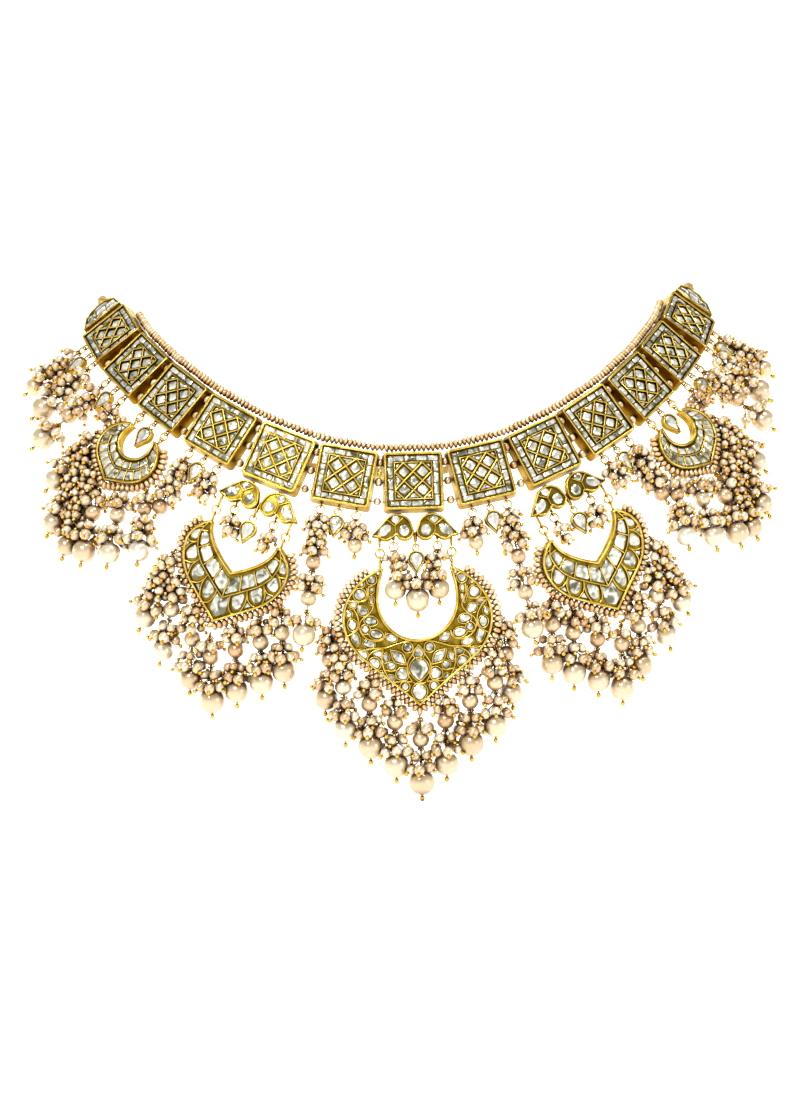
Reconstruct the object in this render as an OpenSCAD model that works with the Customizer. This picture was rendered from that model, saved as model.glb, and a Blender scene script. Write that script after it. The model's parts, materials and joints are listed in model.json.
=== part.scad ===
/* [Plaques] */
// Width and height of a square plaque at its back
plaque_w = 16.2; // [15:0.1:18]
// Depth of a plaque from back to face
plaque_t = 4; // [3:0.1:5]
// How far each side wall slopes in from the back to the face
wall_taper = 0.5; // [0.2:0.05:0.8]
// Radius of a plaque's corners
corner_r = 1.6; // [1:0.1:2.2]
// Gap between one plaque's back and the next one's
plaque_gap = 2; // [1.8:0.1:3]
// Width of the bright line round a plaque's face
rim_w = 0.55; // [0.4:0.05:0.8]
// Width of the row of flat stones inside that line
border_w = 2.2; // [1.6:0.1:2.8]
// Width of the thin gold ridges between stones
ridge_w = 0.35; // [0.25:0.05:0.5]
// Depth of the stone beds under the ridges
bed_t = 0.5; // [0.3:0.05:0.8]

/* [Neck] */
// Distance from the neck's axis forward to the middle plaque
neck_front = 55; // [45:1:65]
// Height of the origin above the middle plaque
neck_drop = 20; // [15:1:25]

/* [Threads, wires and rings] */
// Diameter of the threads through the plaques
thread_d = 0.5; // [0.4:0.05:0.7]
// Diameter of a string of seed pearls
seed_string_d = 2; // [1.6:0.1:2.4]
// Diameter of the gold wire of strands and rings
wire_d = 0.45; // [0.35:0.05:0.55]
// Middle radius of a jump ring
ring_r = 1.15; // [1.05:0.05:1.4]
// Middle radius of a soldered eye
eye_r = 0.7; // [0.65:0.05:0.85]
// Wire diameter of a soldered eye
eye_wire_d = 0.4; // [0.3:0.05:0.45]
// Room round a thread or wire in its bore
bore_room = 0.13; // [0.1:0.01:0.2]
// Gap between a loose piece and its seat
seat_gap = 0.15; // [0.1:0.01:0.2]

/* [Stone drops] */
// Width of a pear-shaped stone drop
drop_w = 4.4; // [3.8:0.1:5]
// Height of its setting without the bail
drop_h = 6.3; // [5.5:0.1:7]
// Depth of its setting
drop_t = 2; // [1.6:0.1:2.6]
// Width of the metal round its stone
bezel_w = 0.45; // [0.3:0.05:0.6]
// Middle radius of its bail
bail_r = 0.9; // [0.85:0.05:1.1]

/* [Paisley pairs] */
// Width of one paisley
paisley_w = 10.9; // [9.5:0.1:12]
// Depth of a paisley
paisley_t = 2.6; // [2:0.1:3.2]
// Height of the posts between a plaque and its pair
post_h = 0.5; // [0.3:0.1:1]
// Diameter of those posts
post_d = 1.2; // [0.8:0.1:1.6]

/* [Crescents] */
// Width of the middle crescent
large_w = 39.2; // [36:0.2:42]
// Height of the middle crescent, from horns to point
large_h = 35.3; // [32:0.1:38]
// Width of the two medium crescents
medium_w = 29.4; // [27:0.2:32]
// Height of the two medium crescents
medium_h = 24; // [22:0.1:26]
// Width of the two small crescents
small_w = 21; // [19:0.2:23]
// Height of the two small crescents
small_h = 15.8; // [14.5:0.1:17.5]
// Depth of a crescent
crescent_t = 3; // [2.4:0.1:3.6]
// Width of the bright line round a crescent's face
crescent_rim = 0.7; // [0.5:0.05:1]
// From a plaque's lower edge to the hinge line of its paisley pair's crescent
hinge_drop = 11.8; // [11.4:0.1:13]
// From the hinge line to the horns of the middle crescent
horn_drop = 2.9; // [2.2:0.1:3.5]
// Length of each horn that carries no stones
horn_solid = 2.4; // [2:0.1:3]

/* [Pearl strands] */
// Diameter of the largest pearls
pearl_d = 6; // [5.4:0.1:6.3]
// Diameter of the middle-sized pearls
small_pearl_d = 4; // [3.4:0.1:4.4]
// Diameter of the small pearls in a bunch
bunch_pearl_d = 2.3; // [2:0.1:2.5]
// Width of a bunch of small pearls
bunch_w = 5.2; // [4.6:0.1:5.4]
// Height of a bunch of small pearls
bunch_h = 4; // [3.4:0.1:4.4]
// Diameter of the ball that ends a wire
ball_d = 1.2; // [1:0.1:1.4]
// Length of a fringe strand, from the rim to the middle of its largest pearl
strand_l = 18; // [17:0.1:20]

/* [Back] */
// Length of an end piece of the collar
terminal_l = 8.5; // [7:0.1:10]
// Depth of an end piece
terminal_t = 3.4; // [2.8:0.1:4]
// Diameter of the twisted silk cord
cord_d = 2.4; // [2:0.1:2.8]
// Diameter of the barrel clasp
clasp_d = 6; // [5:0.1:7]
// Length of the barrel clasp
clasp_l = 12; // [10:0.1:13]

/* [Hidden] */
$fn = 48;

face_w = plaque_w - 2 * wall_taper;
lattice_w = face_w - 2 * (rim_w + border_w);
pitch = plaque_w + plaque_gap;
seed_string_r = seed_string_d / 2;
wall_mid = plaque_w / 2 - wall_taper / 2;
eye_y = -wall_mid - eye_r;
gem_t = plaque_t / 5;
// Room under and round a stone in its bed
gem_gap = bore_room;

// Half of the collar, from the middle plaque outwards. The last row is the end piece.
// Columns: turn round the neck, climb, lean of the face, in degrees
ROW = [
  [0, 0, 11],
  [6, 11.5, 12],
  [15, 22.5, 15],
  [27, 28.5, 20],
  [42, 31.5, 28],
  [54, 31.5, 37],
  [68, 31.5, 46],
  [82, 27, 50]];

// Crescents. Widths are shares of half the width, heights are shares of the height.
// Columns: half width, height, widest place, reach above it, reach below it, hole's half width,
// hole's widest place, hole's reach above it, hole's depth, two powers of the hole's curve
LARGE = [large_w / 2, large_h, 0.363, 0.417, 0.433, 0.541, 0.221, 0.419, 0.53, 2, 0.5];
MEDIUM = [medium_w / 2, medium_h, 0.279, 0.395, 0.54, 0.653, 0, 1, 0.442, 1.9, 1];
SMALL = [small_w / 2, small_h, 0.43, 0.506, 0.48, 0.53, 0.2, 0.42, 0.5, 2, 0.5];

// Stones of half a crescent. Places run from the middle to the horn and from the hole outwards.
// Columns: share along, share across, width and height as shares of the crescent's half width
LARGE_GEMS = [[0, 0.36, 0.26, 0.3], [0, 0.76, 0.17, 0.2], [0.2, 0.3, 0.22, 0.13],
  [0.42, 0.5, 0.13, 0.16], [0.56, 0.5, 0.16, 0.13], [0.7, 0.5, 0.12, 0.14]];
MEDIUM_GEMS = [[0.1, 0.27, 0.17, 0.22], [0.3, 0.3, 0.18, 0.2], [0.5, 0.36, 0.18, 0.18],
  [0.7, 0.42, 0.15, 0.16]];
SMALL_GEMS = [[0, 0.72, 0.17, 0.2], [0.16, 0.68, 0.18, 0.2], [0.34, 0.62, 0.2, 0.2],
  [0.53, 0.58, 0.18, 0.17], [0.7, 0.54, 0.12, 0.12]];

// Fringes. Drops are shares of the strand length, and a small pearl's drop of 0 leaves it out.
// Columns: place on the rim from point to horn (inner side positive), way aside in strand
// lengths, drop of the small pearl, drop of the large pearl, large pearl's share of its size,
// way behind the crescent's middle in pearl sizes
LARGE_FRINGE = [
  [0, 0, 0.31, 0.93, 1, 0],
  [0.17, 0, 0.36, 0.98, 0.98, 0],
  [0.34, 0, 0.4, 1.01, 0.98, 0],
  [0.53, -0.01, 0.52, 1.14, 0.95, 0],
  [0.69, 0.1, 0.56, 1.13, 0.92, 0.5]];
MEDIUM_FRINGE = [
  [0.58, 0.02, 0.38, 0.94, 0.93, 0],
  [0.4, 0, 0.36, 0.94, 0.97, 0],
  [0.2, 0, 0.36, 0.96, 0.92, 0],
  [0, 0, 0.34, 0.98, 1, 0],
  [-0.24, -0.08, 0.5, 1.08, 0.88, 0],
  [-0.48, -0.26, 0.5, 1.12, 0.9, 0],
  [-0.68, -0.5, 0, 1.1, 0.88, 0]];
SMALL_FRINGE = [
  [0.56, 0.06, 0.32, 0.98, 0.85, 0],
  [0.28, -0.02, 0.36, 0.96, 0.9, 0],
  [0, -0.05, 0.36, 0.96, 0.95, 0],
  [-0.26, -0.16, 0, 1.24, 0.95, 0],
  [-0.5, -0.33, 0, 1.26, 0.9, 0],
  [-0.7, -0.75, 0, 0.98, 0.9, 0]];

// Strands that hang from the plaques' own eyes, on one half.
// Columns: plaque from the middle, eye (inner -1, outer 1), share fanned out, then pairs of
// drop in strand lengths and pearl share of the largest size (0 for a bunch alone)
PLAQUE_STRANDS = [
  [1, -1, 0.3, [[0.5, 0.64]]],
  [1, 1, 0.7, [[0.84, 0.64], [1.37, 0.64], [1.9, 0.9]]],
  [3, -1, 1, [[0.5, 0]]],
  [3, 1, 0.85, [[0.95, 0.66]]],
  [5, -1, 0.9, [[0.42, 0]]],
  [5, 1, 1.1, [[0.42, 0], [0.8, 0.66], [1.32, 0.97]]],
  [6, -1, 0.85, [[0.42, 0], [1.05, 1]]],
  [6, 1, 1, [[0.42, 0], [1.0, 0.8]]]];

// Route of the silk cord's right half, from the end piece to the clasp's axis
CORD_ROUTE = neck_front / 55 * [[84.5, 14, 33.5], [84, 22, 30], [81.5, 32, 24], [77, 42, 17],
  [70.5, 51.5, 9.5], [62, 60, 2.5], [51.5, 67, -4.5], [39.5, 72, -10.5], [27, 75, -15], [15, 76.5, -18]];
clasp_at = neck_front / 55 * [0, 77, -19];

// Vectors and frames. A frame is [across, up, out, origin].
function unit(v) = v / norm(v);
function across(k) = [cos(ROW[k][1]) * cos(ROW[k][0]), cos(ROW[k][1]) * sin(ROW[k][0]), sin(ROW[k][1])];
function outward(k) = [sin(ROW[k][0]), -cos(ROW[k][0]), 0];
function face_out(k) = cos(ROW[k][2]) * outward(k) + sin(ROW[k][2]) * cross(outward(k), across(k));
function place(k) = k == 0 ? [0, -neck_front, -neck_drop]
  : place(k - 1) + pitch / 2 * (across(k - 1) + across(k));
function row_frame(k) = [across(k), cross(face_out(k), across(k)), face_out(k), place(k)];
function in_frame(f, p) = f[3] + p[0] * f[0] + p[1] * f[1] + p[2] * f[2];
function hinge_y(drop) = -plaque_w / 2 - drop;
// Frame of a hinged crescent: it hangs in the upright plane through its hinge line
function plumb_up(t) = unit([0, 0, 1] - t[2] * t);
function hinge_frame(k) = let (f = row_frame(k), up = plumb_up(f[0]))
  [f[0], up, cross(f[0], up), in_frame(f, [0, hinge_y(hinge_drop), -plaque_t / 2])];
// Frame of a small crescent, which lies in its plaque's plane
function lying_frame(k) = let (f = row_frame(k))
  [f[0], f[1], f[2], in_frame(f, [0, eye_y - 2 * ring_r, -plaque_t / 2])];
// Angle of plumb, or of straight down the slope, in a frame
function plumb_turn(f) = -atan2(f[0][2], f[1][2]);

module at(f) multmatrix([
  [f[0][0], f[1][0], f[2][0], f[3][0]],
  [f[0][1], f[1][1], f[2][1], f[3][1]],
  [f[0][2], f[1][2], f[2][2], f[3][2]],
  [0, 0, 0, 1]]) children();
module half(left) if (left) mirror([1, 0, 0]) children(); else children();

// Length along a path, and the point at a share of it
function lengths(path, i = 0, sum = 0) = i == len(path) - 1 ? [sum]
  : concat([sum], lengths(path, i + 1, sum + norm(path[i + 1] - path[i])));
function along(path, share) = let (l = lengths(path), want = share * l[len(l) - 1],
    i = max([for (j = [0:len(path) - 2]) if (l[j] <= want) j]))
  path[i] + (want - l[i]) / (l[i + 1] - l[i]) * (path[i + 1] - path[i]);
function arc(c, r, from, to, n) = [for (i = [0:n]) let (a = from + (to - from) * i / n)
  c + r * [cos(a), sin(a)]];

// A round tube along a path, made of rings square to it
module tube(path, d, sides = 8) {
  n = len(path);
  dirs = [for (i = [0:n - 1]) unit(path[min(i + 1, n - 1)] - path[max(i - 1, 0)])];
  rings = [for (i = [0:n - 1]) let (side = unit(cross(dirs[i], [0, 0, 1])),
      up = cross(side, dirs[i]))
    for (j = [0:sides - 1]) path[i] + d / 2 * (cos(360 * j / sides) * side + sin(360 * j / sides) * up)];
  walls = [for (i = [0:n - 2], j = [0:sides - 1]) let (a = i * sides + j,
      b = i * sides + (j + 1) % sides) [a, b, b + sides, a + sides]];
  polyhedron(rings, concat([[for (j = [sides - 1:-1:0]) j]], walls,
    [[for (j = [0:sides - 1]) (n - 1) * sides + j]]));
}
// The same for a path in the drawing plane
module flat_tube(path, d, sides = 8) {
  n = len(path);
  dirs = [for (i = [0:n - 1]) unit(path[min(i + 1, n - 1)] - path[max(i - 1, 0)])];
  rings = [for (i = [0:n - 1]) for (j = [0:sides - 1])
    [path[i][0], path[i][1], 0] + d / 2 * (cos(360 * j / sides) * [dirs[i][1], -dirs[i][0], 0]
      + sin(360 * j / sides) * [0, 0, 1])];
  walls = [for (i = [0:n - 2], j = [0:sides - 1]) let (a = i * sides + j,
      b = i * sides + (j + 1) % sides) [a, b, b + sides, a + sides]];
  polyhedron(rings, concat([[for (j = [sides - 1:-1:0]) j]], walls,
    [[for (j = [0:sides - 1]) (n - 1) * sides + j]]));
}
module ring(r, d) rotate_extrude() translate([r, 0]) circle(d / 2, $fn = 24);
// An eye seen edge-on from the front
module eye() rotate([0, 90, 0]) ring(eye_r, eye_wire_d);
// A cut stone on the drawing plane: eight or more facets and a table
module gem(w, h, n = 8) linear_extrude(gem_t, scale = 0.62)
  polygon([for (i = [0:n - 1]) let (a = 360 * (i + 0.5) / n) [w / 2 * cos(a), h / 2 * sin(a)]]);
module rounded_square(w, r) {
  square([w - 2 * r, w], center = true);
  square([w, w - 2 * r], center = true);
  for (x = [-1, 1], y = [-1, 1]) translate([x, y] * (w / 2 - r)) circle(r);
}

// Square plaque, with its face on the drawing plane
module wall_wedge() rotate([90, 0, 0]) translate([0, 0, -plaque_w])
  linear_extrude(2 * plaque_w) polygon([[-plaque_w / 2, -plaque_t], [plaque_w / 2, -plaque_t],
    [face_w / 2, 0], [-face_w / 2, 0]]);
module plaque_block() intersection() {
  translate([0, 0, -plaque_t]) linear_extrude(plaque_t) rounded_square(plaque_w, corner_r);
  wall_wedge();
  rotate([0, 0, 90]) wall_wedge();
}
thread_ys = [0.32, 0, -0.32] * plaque_w;
lug_x = 0.29 * plaque_w;
function eye_x(k) = k == 4 ? horn_x(SMALL) : lug_x;
module thread_bores(w) for (y = thread_ys) translate([-w, y, -plaque_t / 2]) rotate([0, 90, 0])
  cylinder(h = 2 * w, d = thread_d + 2 * bore_room);
module lattice() intersection() {
  square(lattice_w - ridge_w, center = true);
  union() for (turn = [45, -45], step = [-1.5, -0.5, 0.5, 1.5]) rotate(turn)
    translate([0, step * lattice_w / sqrt(8)]) square([2 * lattice_w, ridge_w], center = true);
}
module plaque(k, middle_eye) at(row_frame(k)) {
  difference() {
    plaque_block();
    translate([0, 0, -bed_t]) linear_extrude(2 * bed_t)
      rounded_square(face_w - 2 * rim_w, corner_r - rim_w / 2);
    thread_bores(plaque_w);
  }
  translate([0, 0, -bed_t]) linear_extrude(bed_t) {
    difference() {
      square(lattice_w, center = true);
      square(lattice_w - 2 * ridge_w, center = true);
    }
    lattice();
  }
  for (x = middle_eye ? [-eye_x(k), 0, eye_x(k)] : [])
    translate([x, eye_y, -plaque_t / 2]) eye();
}
module gold() color([0.83, 0.66, 0.24]) children();
module pale() color([0.93, 0.87, 0.8]) children();
module stone() color([0.88, 0.9, 0.9]) children();

// End piece of the collar, with an eye for the cord
terminal_tip = terminal_l - plaque_w / 2;
terminal_side = 0.4 * plaque_w;
function terminal_frame() = row_frame(7);
socket_l = cord_d / 2;
module terminal() at(terminal_frame()) difference() {
  union() {
    translate([0, 0, -terminal_t]) linear_extrude(terminal_t - bed_t)
      polygon([[-plaque_w / 2, -terminal_side], [-plaque_w / 2, terminal_side],
        [terminal_tip - terminal_l / 3, terminal_side * 0.8], [terminal_tip, terminal_side * 0.35],
        [terminal_tip, -terminal_side * 0.35], [terminal_tip - terminal_l / 3, -terminal_side * 0.8]]);
    translate([0, 0, -bed_t - 0.01]) linear_extrude(bed_t)
      polygon([[-plaque_w / 2 + rim_w, -terminal_side + rim_w], [-plaque_w / 2 + rim_w, terminal_side - rim_w],
        [terminal_tip - terminal_l / 3, terminal_side * 0.7], [terminal_tip - rim_w, terminal_side * 0.25],
        [terminal_tip - rim_w, -terminal_side * 0.25], [terminal_tip - terminal_l / 3, -terminal_side * 0.7]]);
    translate([terminal_tip, 0, -terminal_t / 2]) rotate([0, 90, 0]) cylinder(h = socket_l, d = cord_d + 0.8);
  }
  translate([-plaque_w / 2 - 1, 0, -plaque_t / 2]) thread_socket();
}
module thread_socket() for (y = thread_ys) translate([0, y, 0]) rotate([0, 90, 0])
  cylinder(h = 3, d = thread_d + 2 * bore_room);

// Threads and the string along the top edge
function right_thread(y) = [for (k = [0:6], x = k == 0 ? [1] : [-1, 1])
  in_frame(row_frame(k), [x * (plaque_w / 2 - 0.3), y, -plaque_t / 2])];
function whole(path) = concat([for (i = [len(path) - 1:-1:0]) [-path[i][0], path[i][1], path[i][2]]], path);
function thread_path(y) = whole(concat(right_thread(y),
  [in_frame(row_frame(7), [-plaque_w / 2 + 1, y, -plaque_t / 2])]));
module plaque_threads() color([0.86, 0.75, 0.5])
  for (y = thread_ys) tube(thread_path(y), thread_d);
top_y = plaque_w / 2 + seed_string_r + seat_gap;
module top_seed_string() color([0.9, 0.72, 0.52]) tube(whole([for (k = [0:6],
    x = k == 0 ? [0.36] : k == 6 ? [-0.36, 0.1] : [-0.36, 0.36])
  in_frame(row_frame(k), [x * plaque_w, top_y, -plaque_t / 2])]), seed_string_d);

// A paisley, right one of a pair. Its outline is in shares of its width.
function paisley() = paisley_w * concat(arc([0.4, -0.38], 0.345, 150, 35, 10), [[1.01, -0.53]],
  arc([0.69, -0.45], 0.18, -35, -130, 5), [[0.42, -0.5]], arc([0.23, -0.43], 0.2, -50, -180, 7));
paisley_top = 0.035 * paisley_w;
pair_bottom = 0.63 * paisley_w;
pair_half_gap = 0.02 * paisley_w;
pair_eye_y = hinge_y(hinge_drop) + 2 * ring_r;
drop_eye_y = hinge_y(0.71 * hinge_drop);
side_eye_x = 0.52 * paisley_w;
side_eye_y = hinge_y(0.66 * hinge_drop);
module paisley_pair(k, horn_x) at(row_frame(k)) translate([0, 0, -plaque_t / 2]) {
  top = hinge_y(post_h + seat_gap) + paisley_top;
  for (side = [0, 1]) mirror([side, 0, 0]) {
    difference() {
      translate([pair_half_gap, top, -paisley_t / 2]) linear_extrude(paisley_t) polygon(paisley());
      for (g = PAISLEY_GEMS) translate([g[0] * paisley_w, top + g[1] * paisley_w, paisley_t / 2 - bed_t])
        cylinder(h = 2 * bed_t, d = g[2] * paisley_w);
    }
    translate([0.37 * paisley_w, hinge_y(seat_gap), 0]) rotate([90, 0, 0])
      cylinder(h = post_h + 1.2, d = post_d);
    hanger(horn_x, top - 0.53 * paisley_w, pair_eye_y);
    hanger(side_eye_x, top - 0.56 * paisley_w, side_eye_y);
  }
  translate([0, top - 0.46 * paisley_w, 0]) rotate([90, 0, 0])
    cylinder(h = top - 0.46 * paisley_w - drop_eye_y - eye_r, d = post_d);
  translate([0, drop_eye_y, 0]) eye();
}
// A short post from a paisley's lower edge down to an eye
module hanger(eye_x, y, eye_at) {
  translate([eye_x, y, 0]) rotate([90, 0, 0]) cylinder(h = y - eye_at - eye_r, d = eye_wire_d + 0.35);
  translate([eye_x, eye_at, 0]) eye();
}
// Columns: right, up, diameter, as shares of a paisley's width
PAISLEY_GEMS = [[0.7, -0.44, 0.26], [0.25, -0.43, 0.24], [0.45, -0.19, 0.2]];
module paisley_gems(k) at(row_frame(k)) translate([0, 0, -plaque_t / 2 + paisley_t / 2 - bed_t + gem_gap])
  for (side = [0, 1], g = PAISLEY_GEMS) mirror([side, 0, 0])
    translate([g[0] * paisley_w, hinge_y(post_h + seat_gap) + paisley_top + g[1] * paisley_w, 0])
      gem(g[2] * paisley_w - 2 * gem_gap, g[2] * paisley_w - 2 * gem_gap);

// Pear-shaped stone drop in its setting, hung with its bail through an eye at the origin
function pear(r, h) = let (a = acos(r / (h - r))) concat(arc([0, 0], r, a - 90, 270 - a, 14), [[0, r - h]]);
drop_y = -2 * bail_r - drop_w / 2;
drop_inner = drop_w / 2 - bezel_w;
module stone_drop() {
  gold() {
    difference() {
      translate([0, drop_y, -drop_t / 2]) linear_extrude(drop_t) polygon(pear(drop_w / 2, drop_h));
      translate([0, drop_y, drop_t / 2 - bed_t]) linear_extrude(2 * bed_t)
        polygon(pear(drop_inner, drop_h - 2.3 * bezel_w));
    }
    translate([0, -bail_r, 0]) ring(bail_r, eye_wire_d);
  }
  stone() translate([0, drop_y, drop_t / 2 - bed_t + gem_gap]) linear_extrude(gem_t, scale = 0.62)
    polygon([for (i = [0:9]) let (a = 90 + 36 * i, s = drop_inner - gem_gap)
      s * [cos(a), sin(a) * (sin(a) < -0.9 ? 1.5 : sin(a) < 0 ? 1.25 : 1)]]);
}
module drop_of_plaque(k) at(row_frame(k)) translate([0, eye_y, -plaque_t / 2]) stone_drop();
module drop_of_pair(k) at(row_frame(k)) translate([0, drop_eye_y, -plaque_t / 2]) stone_drop();

// Crescents, drawn with the middle between the horns' tops at the origin
function outer_half(c, more = 0, n = 14) = let (
    a = c[0] + more, w = c[2] * c[1], up = c[3] * c[1] + more, low = c[4] * c[1] + more,
    tip = c[1] + more * 1.35 - w,
    start = asin(min(1, w / up)), end = -asin(low / tip))
  concat([for (i = [0:n]) let (s = start + (end - start) * i / n)
    [a * cos(s), -w + (s > 0 ? up : low) * sin(s)]], [[0, -w - tip]]);
function hole_x(c, y) = let (w = c[6] * c[1], reach = y > -w ? c[7] * c[1] : (c[8] - c[6]) * c[1])
  c[0] * c[5] * pow(1 - pow(min(1, abs(y + w) / reach), c[9]), c[10]);
function hole_half(c, less = 0, n = 16) = [for (i = [0:n]) let (s = sin(90 * i / n),
    y = -s * c[8] * c[1]) [i == n ? 0 : hole_x(c, y) + less, i == n ? y - less : y]];
function horn_x(c) = (hole_x(c, 0) + outer_half(c)[0][0]) / 2;
function crescent_outline(c) = let (o = outer_half(c), h = hole_half(c))
  concat(o, [for (i = [1:len(o) - 1]) let (p = o[len(o) - 1 - i]) [-p[0], p[1]]],
    [for (p = h) [-p[0], p[1]]], [for (i = [len(h) - 2:-1:0]) h[i]]);
function bed_outline(c, less) = let (
    o = [for (p = outer_half(c, -less)) if (p[1] < -horn_solid) p],
    h = [for (p = hole_half(c, less)) if (p[1] < -horn_solid) p])
  concat(o, [for (i = [1:len(o) - 1]) let (p = o[len(o) - 1 - i]) [-p[0], p[1]]],
    [for (p = h) [-p[0], p[1]]], [for (i = [len(h) - 2:-1:0]) h[i]]);
function gem_place(c, g) = (1 - g[1]) * along(hole_path(c), g[0]) + g[1] * along(rim_path(c, 0), g[0]);
function hole_path(c) = let (h = hole_half(c)) [for (i = [len(h) - 1:-1:0]) h[i]];
function rim_path(c, more) = let (o = outer_half(c, more)) [for (i = [len(o) - 1:-1:0]) o[i]];
module crescent(c, gems, drop) {
  horn = horn_x(c);
  gold() {
    difference() {
      translate([0, -drop, -crescent_t / 2]) linear_extrude(crescent_t) polygon(crescent_outline(c));
      translate([0, -drop, crescent_t / 2 - bed_t]) linear_extrude(2 * bed_t)
        polygon(bed_outline(c, crescent_rim));
    }
    for (x = [-horn, horn]) {
      translate([x, 0, 0]) eye();
      translate([x, -eye_r, 0]) rotate([90, 0, 0]) cylinder(h = drop - eye_r + 0.9, d = eye_wire_d + 0.35);
    }
  }
  stone() translate([0, -drop, crescent_t / 2 - bed_t + gem_gap]) for (g = gems, side = g[0] == 0 ? [0] : [0, 1])
    mirror([side, 0, 0]) translate(gem_place(c, g)) rotate(-60 * g[0]) gem(g[2] * c[0], g[3] * c[0]);
}
rim_gap = 1.3 * seat_gap;
rim_out = seed_string_r + rim_gap;
strand_out = rim_out + seed_string_r + seat_gap + wire_d / 2;
module rim(c, drop) pale() translate([0, -drop, 0]) {
  half_rim = [for (i = [0:18]) along(rim_path(c, rim_out), i / 18)];
  flat_tube(concat([for (i = [18:-1:1]) [-half_rim[i][0], half_rim[i][1]]], half_rim), seed_string_d);
}

// Strands hang down the drawing plane from the origin. Each tier is [drop, pearl diameter].
module upright(h, d, y) translate([0, y, 0]) rotate([90, 0, 0]) cylinder(h = h, d = d);
module bunch() rotate([90, 0, 0]) rotate_extrude() {
  translate([bunch_w / 2 - bunch_pearl_d / 2, -bunch_pearl_d / 2]) circle(bunch_pearl_d / 2);
  translate([bunch_pearl_d / 2 + 0.05, bunch_pearl_d / 2 - bunch_h]) circle(bunch_pearl_d / 2);
  translate([0, bunch_pearl_d * 0.3 - bunch_h]) square([bunch_pearl_d / 2, bunch_h - bunch_pearl_d * 0.6]);
}
knot_r = bunch_h / 5;
function tier_top(t) = t[0] - t[1] / 2 - seat_gap;
module strand_wire(tiers, start, top_ring = false) {
  end = tiers[len(tiers) - 1][0] + tiers[len(tiers) - 1][1] / 2;
  first = top_ring ? 2 * ring_r : start;
  upright(end + seat_gap + ball_d / 2 - first, wire_d, -first);
  translate([0, -end - seat_gap - ball_d / 2, 0]) sphere(ball_d / 2);
  for (t = tiers) if (t[0] - t[1] / 2 - 1.15 * bunch_h > first) translate([0, -tier_top(t), 0]) bunch();
    else translate([0, knot_r - tier_top(t), 0]) sphere(knot_r);
  if (top_ring) translate([0, -ring_r, 0]) ring(ring_r, wire_d);
}
module strand_pearls(tiers) for (t = tiers) if (t[1] > 0) translate([0, -t[0], 0]) difference() {
  sphere(t[1] / 2);
  upright(t[1] + 1, wire_d + 2 * bore_room, t[1] / 2 + 0.5);
}
function fringe_tiers(row) = concat(row[2] > 0 ? [[row[2] * strand_l, small_pearl_d]] : [],
  [[row[3] * strand_l, row[4] * pearl_d]]);
module fringe(c, rows, drop, f, both) for (row = rows,
    side = both && row[0] > 0 ? [-1, 1] : [-sign(row[0]) == 0 ? 1 : -sign(row[0])]) {
  p = along(rim_path(c, strand_out), abs(row[0]));
  translate([side * p[0], p[1] - drop, -row[5] * pearl_d])
    rotate(plumb_turn(f) + atan(row[1]) * (both ? side : -1)) let ($tiers = fringe_tiers(row)) children();
}
module plaque_strands() for (row = PLAQUE_STRANDS) let (f = row_frame(row[0]))
  at(f) translate([row[1] * lug_x, eye_y, -plaque_t / 2]) rotate(plumb_turn(f) * (1 - row[2]))
    let ($tiers = [for (t = row[3]) [t[0] * strand_l, t[1] * pearl_d]]) children();

// Strands in the mouth of a crescent, from the paisley pair's side eyes and its drop's point.
// Each tier is a drop in strand lengths and a pearl's share, as above
LARGE_MOUTH = [[0.69, 0.98]];
MEDIUM_MOUTH = [[0.4, 0]];
module mouth_strands(k, tiers) at(row_frame(k)) for (side = [-1, 1])
  translate([side * side_eye_x, side_eye_y, -plaque_t / 2]) rotate(plumb_turn(row_frame(k)) / 3)
    let ($tiers = [for (t = tiers) [t[0] * strand_l, t[1] * pearl_d]]) children();
drop_point = drop_eye_y - 2 * bail_r - drop_h;
module drop_strand(k) at(row_frame(k)) translate([0, drop_point, -plaque_t / 2])
  let ($tiers = [[0.36 * strand_l, pearl_d]]) children();

large_frame = hinge_frame(0);
medium_frame = hinge_frame(2);
small_frame = lying_frame(4);
medium_drop = 0.76 * horn_drop;
small_drop = 0.55 * horn_drop;
module wires() gold() strand_wire($tiers, 0);
module ringed_wires() gold() strand_wire($tiers, 0, true);
module pearls() pale() strand_pearls($tiers);
module large_fringe() at(large_frame) fringe(LARGE, LARGE_FRINGE, horn_drop, large_frame, true) children();
module medium_fringe() at(medium_frame)
  fringe(MEDIUM, MEDIUM_FRINGE, medium_drop, medium_frame, false) children();
module small_fringe() at(small_frame)
  fringe(SMALL, SMALL_FRINGE, small_drop, small_frame, false) children();

module side_wires(left) half(left) {
  plaque_strands() ringed_wires();
  mouth_strands(2, MEDIUM_MOUTH) ringed_wires();
  small_fringe() wires();
}
module side_pearls(left) half(left) {
  plaque_strands() pearls();
  mouth_strands(2, MEDIUM_MOUTH) pearls();
  small_fringe() pearls();
}
module rings_of(f, c) at(f) for (side = [-1, 1]) translate([side * horn_x(c), ring_r, 0])
  ring(ring_r, wire_d);
function leaned(k, f) = let (r = row_frame(k)) [r[0], r[1], r[2], f[3]];
module jump_rings() gold() {
  rings_of(leaned(0, large_frame), LARGE);
  for (left = [false, true]) half(left) {
    rings_of(leaned(2, medium_frame), MEDIUM);
    rings_of(small_frame, SMALL);
  }
}
cord_starts = [for (x = [seat_gap, 0.8 * cord_d, 1.6 * cord_d]) in_frame(terminal_frame(),
  [terminal_tip + socket_l + x, 0, -terminal_t / 2])];
cord_end = clasp_at + [clasp_l / 2 + seat_gap, 0, 0];
module cord() color([0.75, 0.2, 0.15])
  tube(concat(cord_starts, CORD_ROUTE, [cord_end + [0.8 * cord_d, 0, 0], cord_end]), cord_d);
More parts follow.
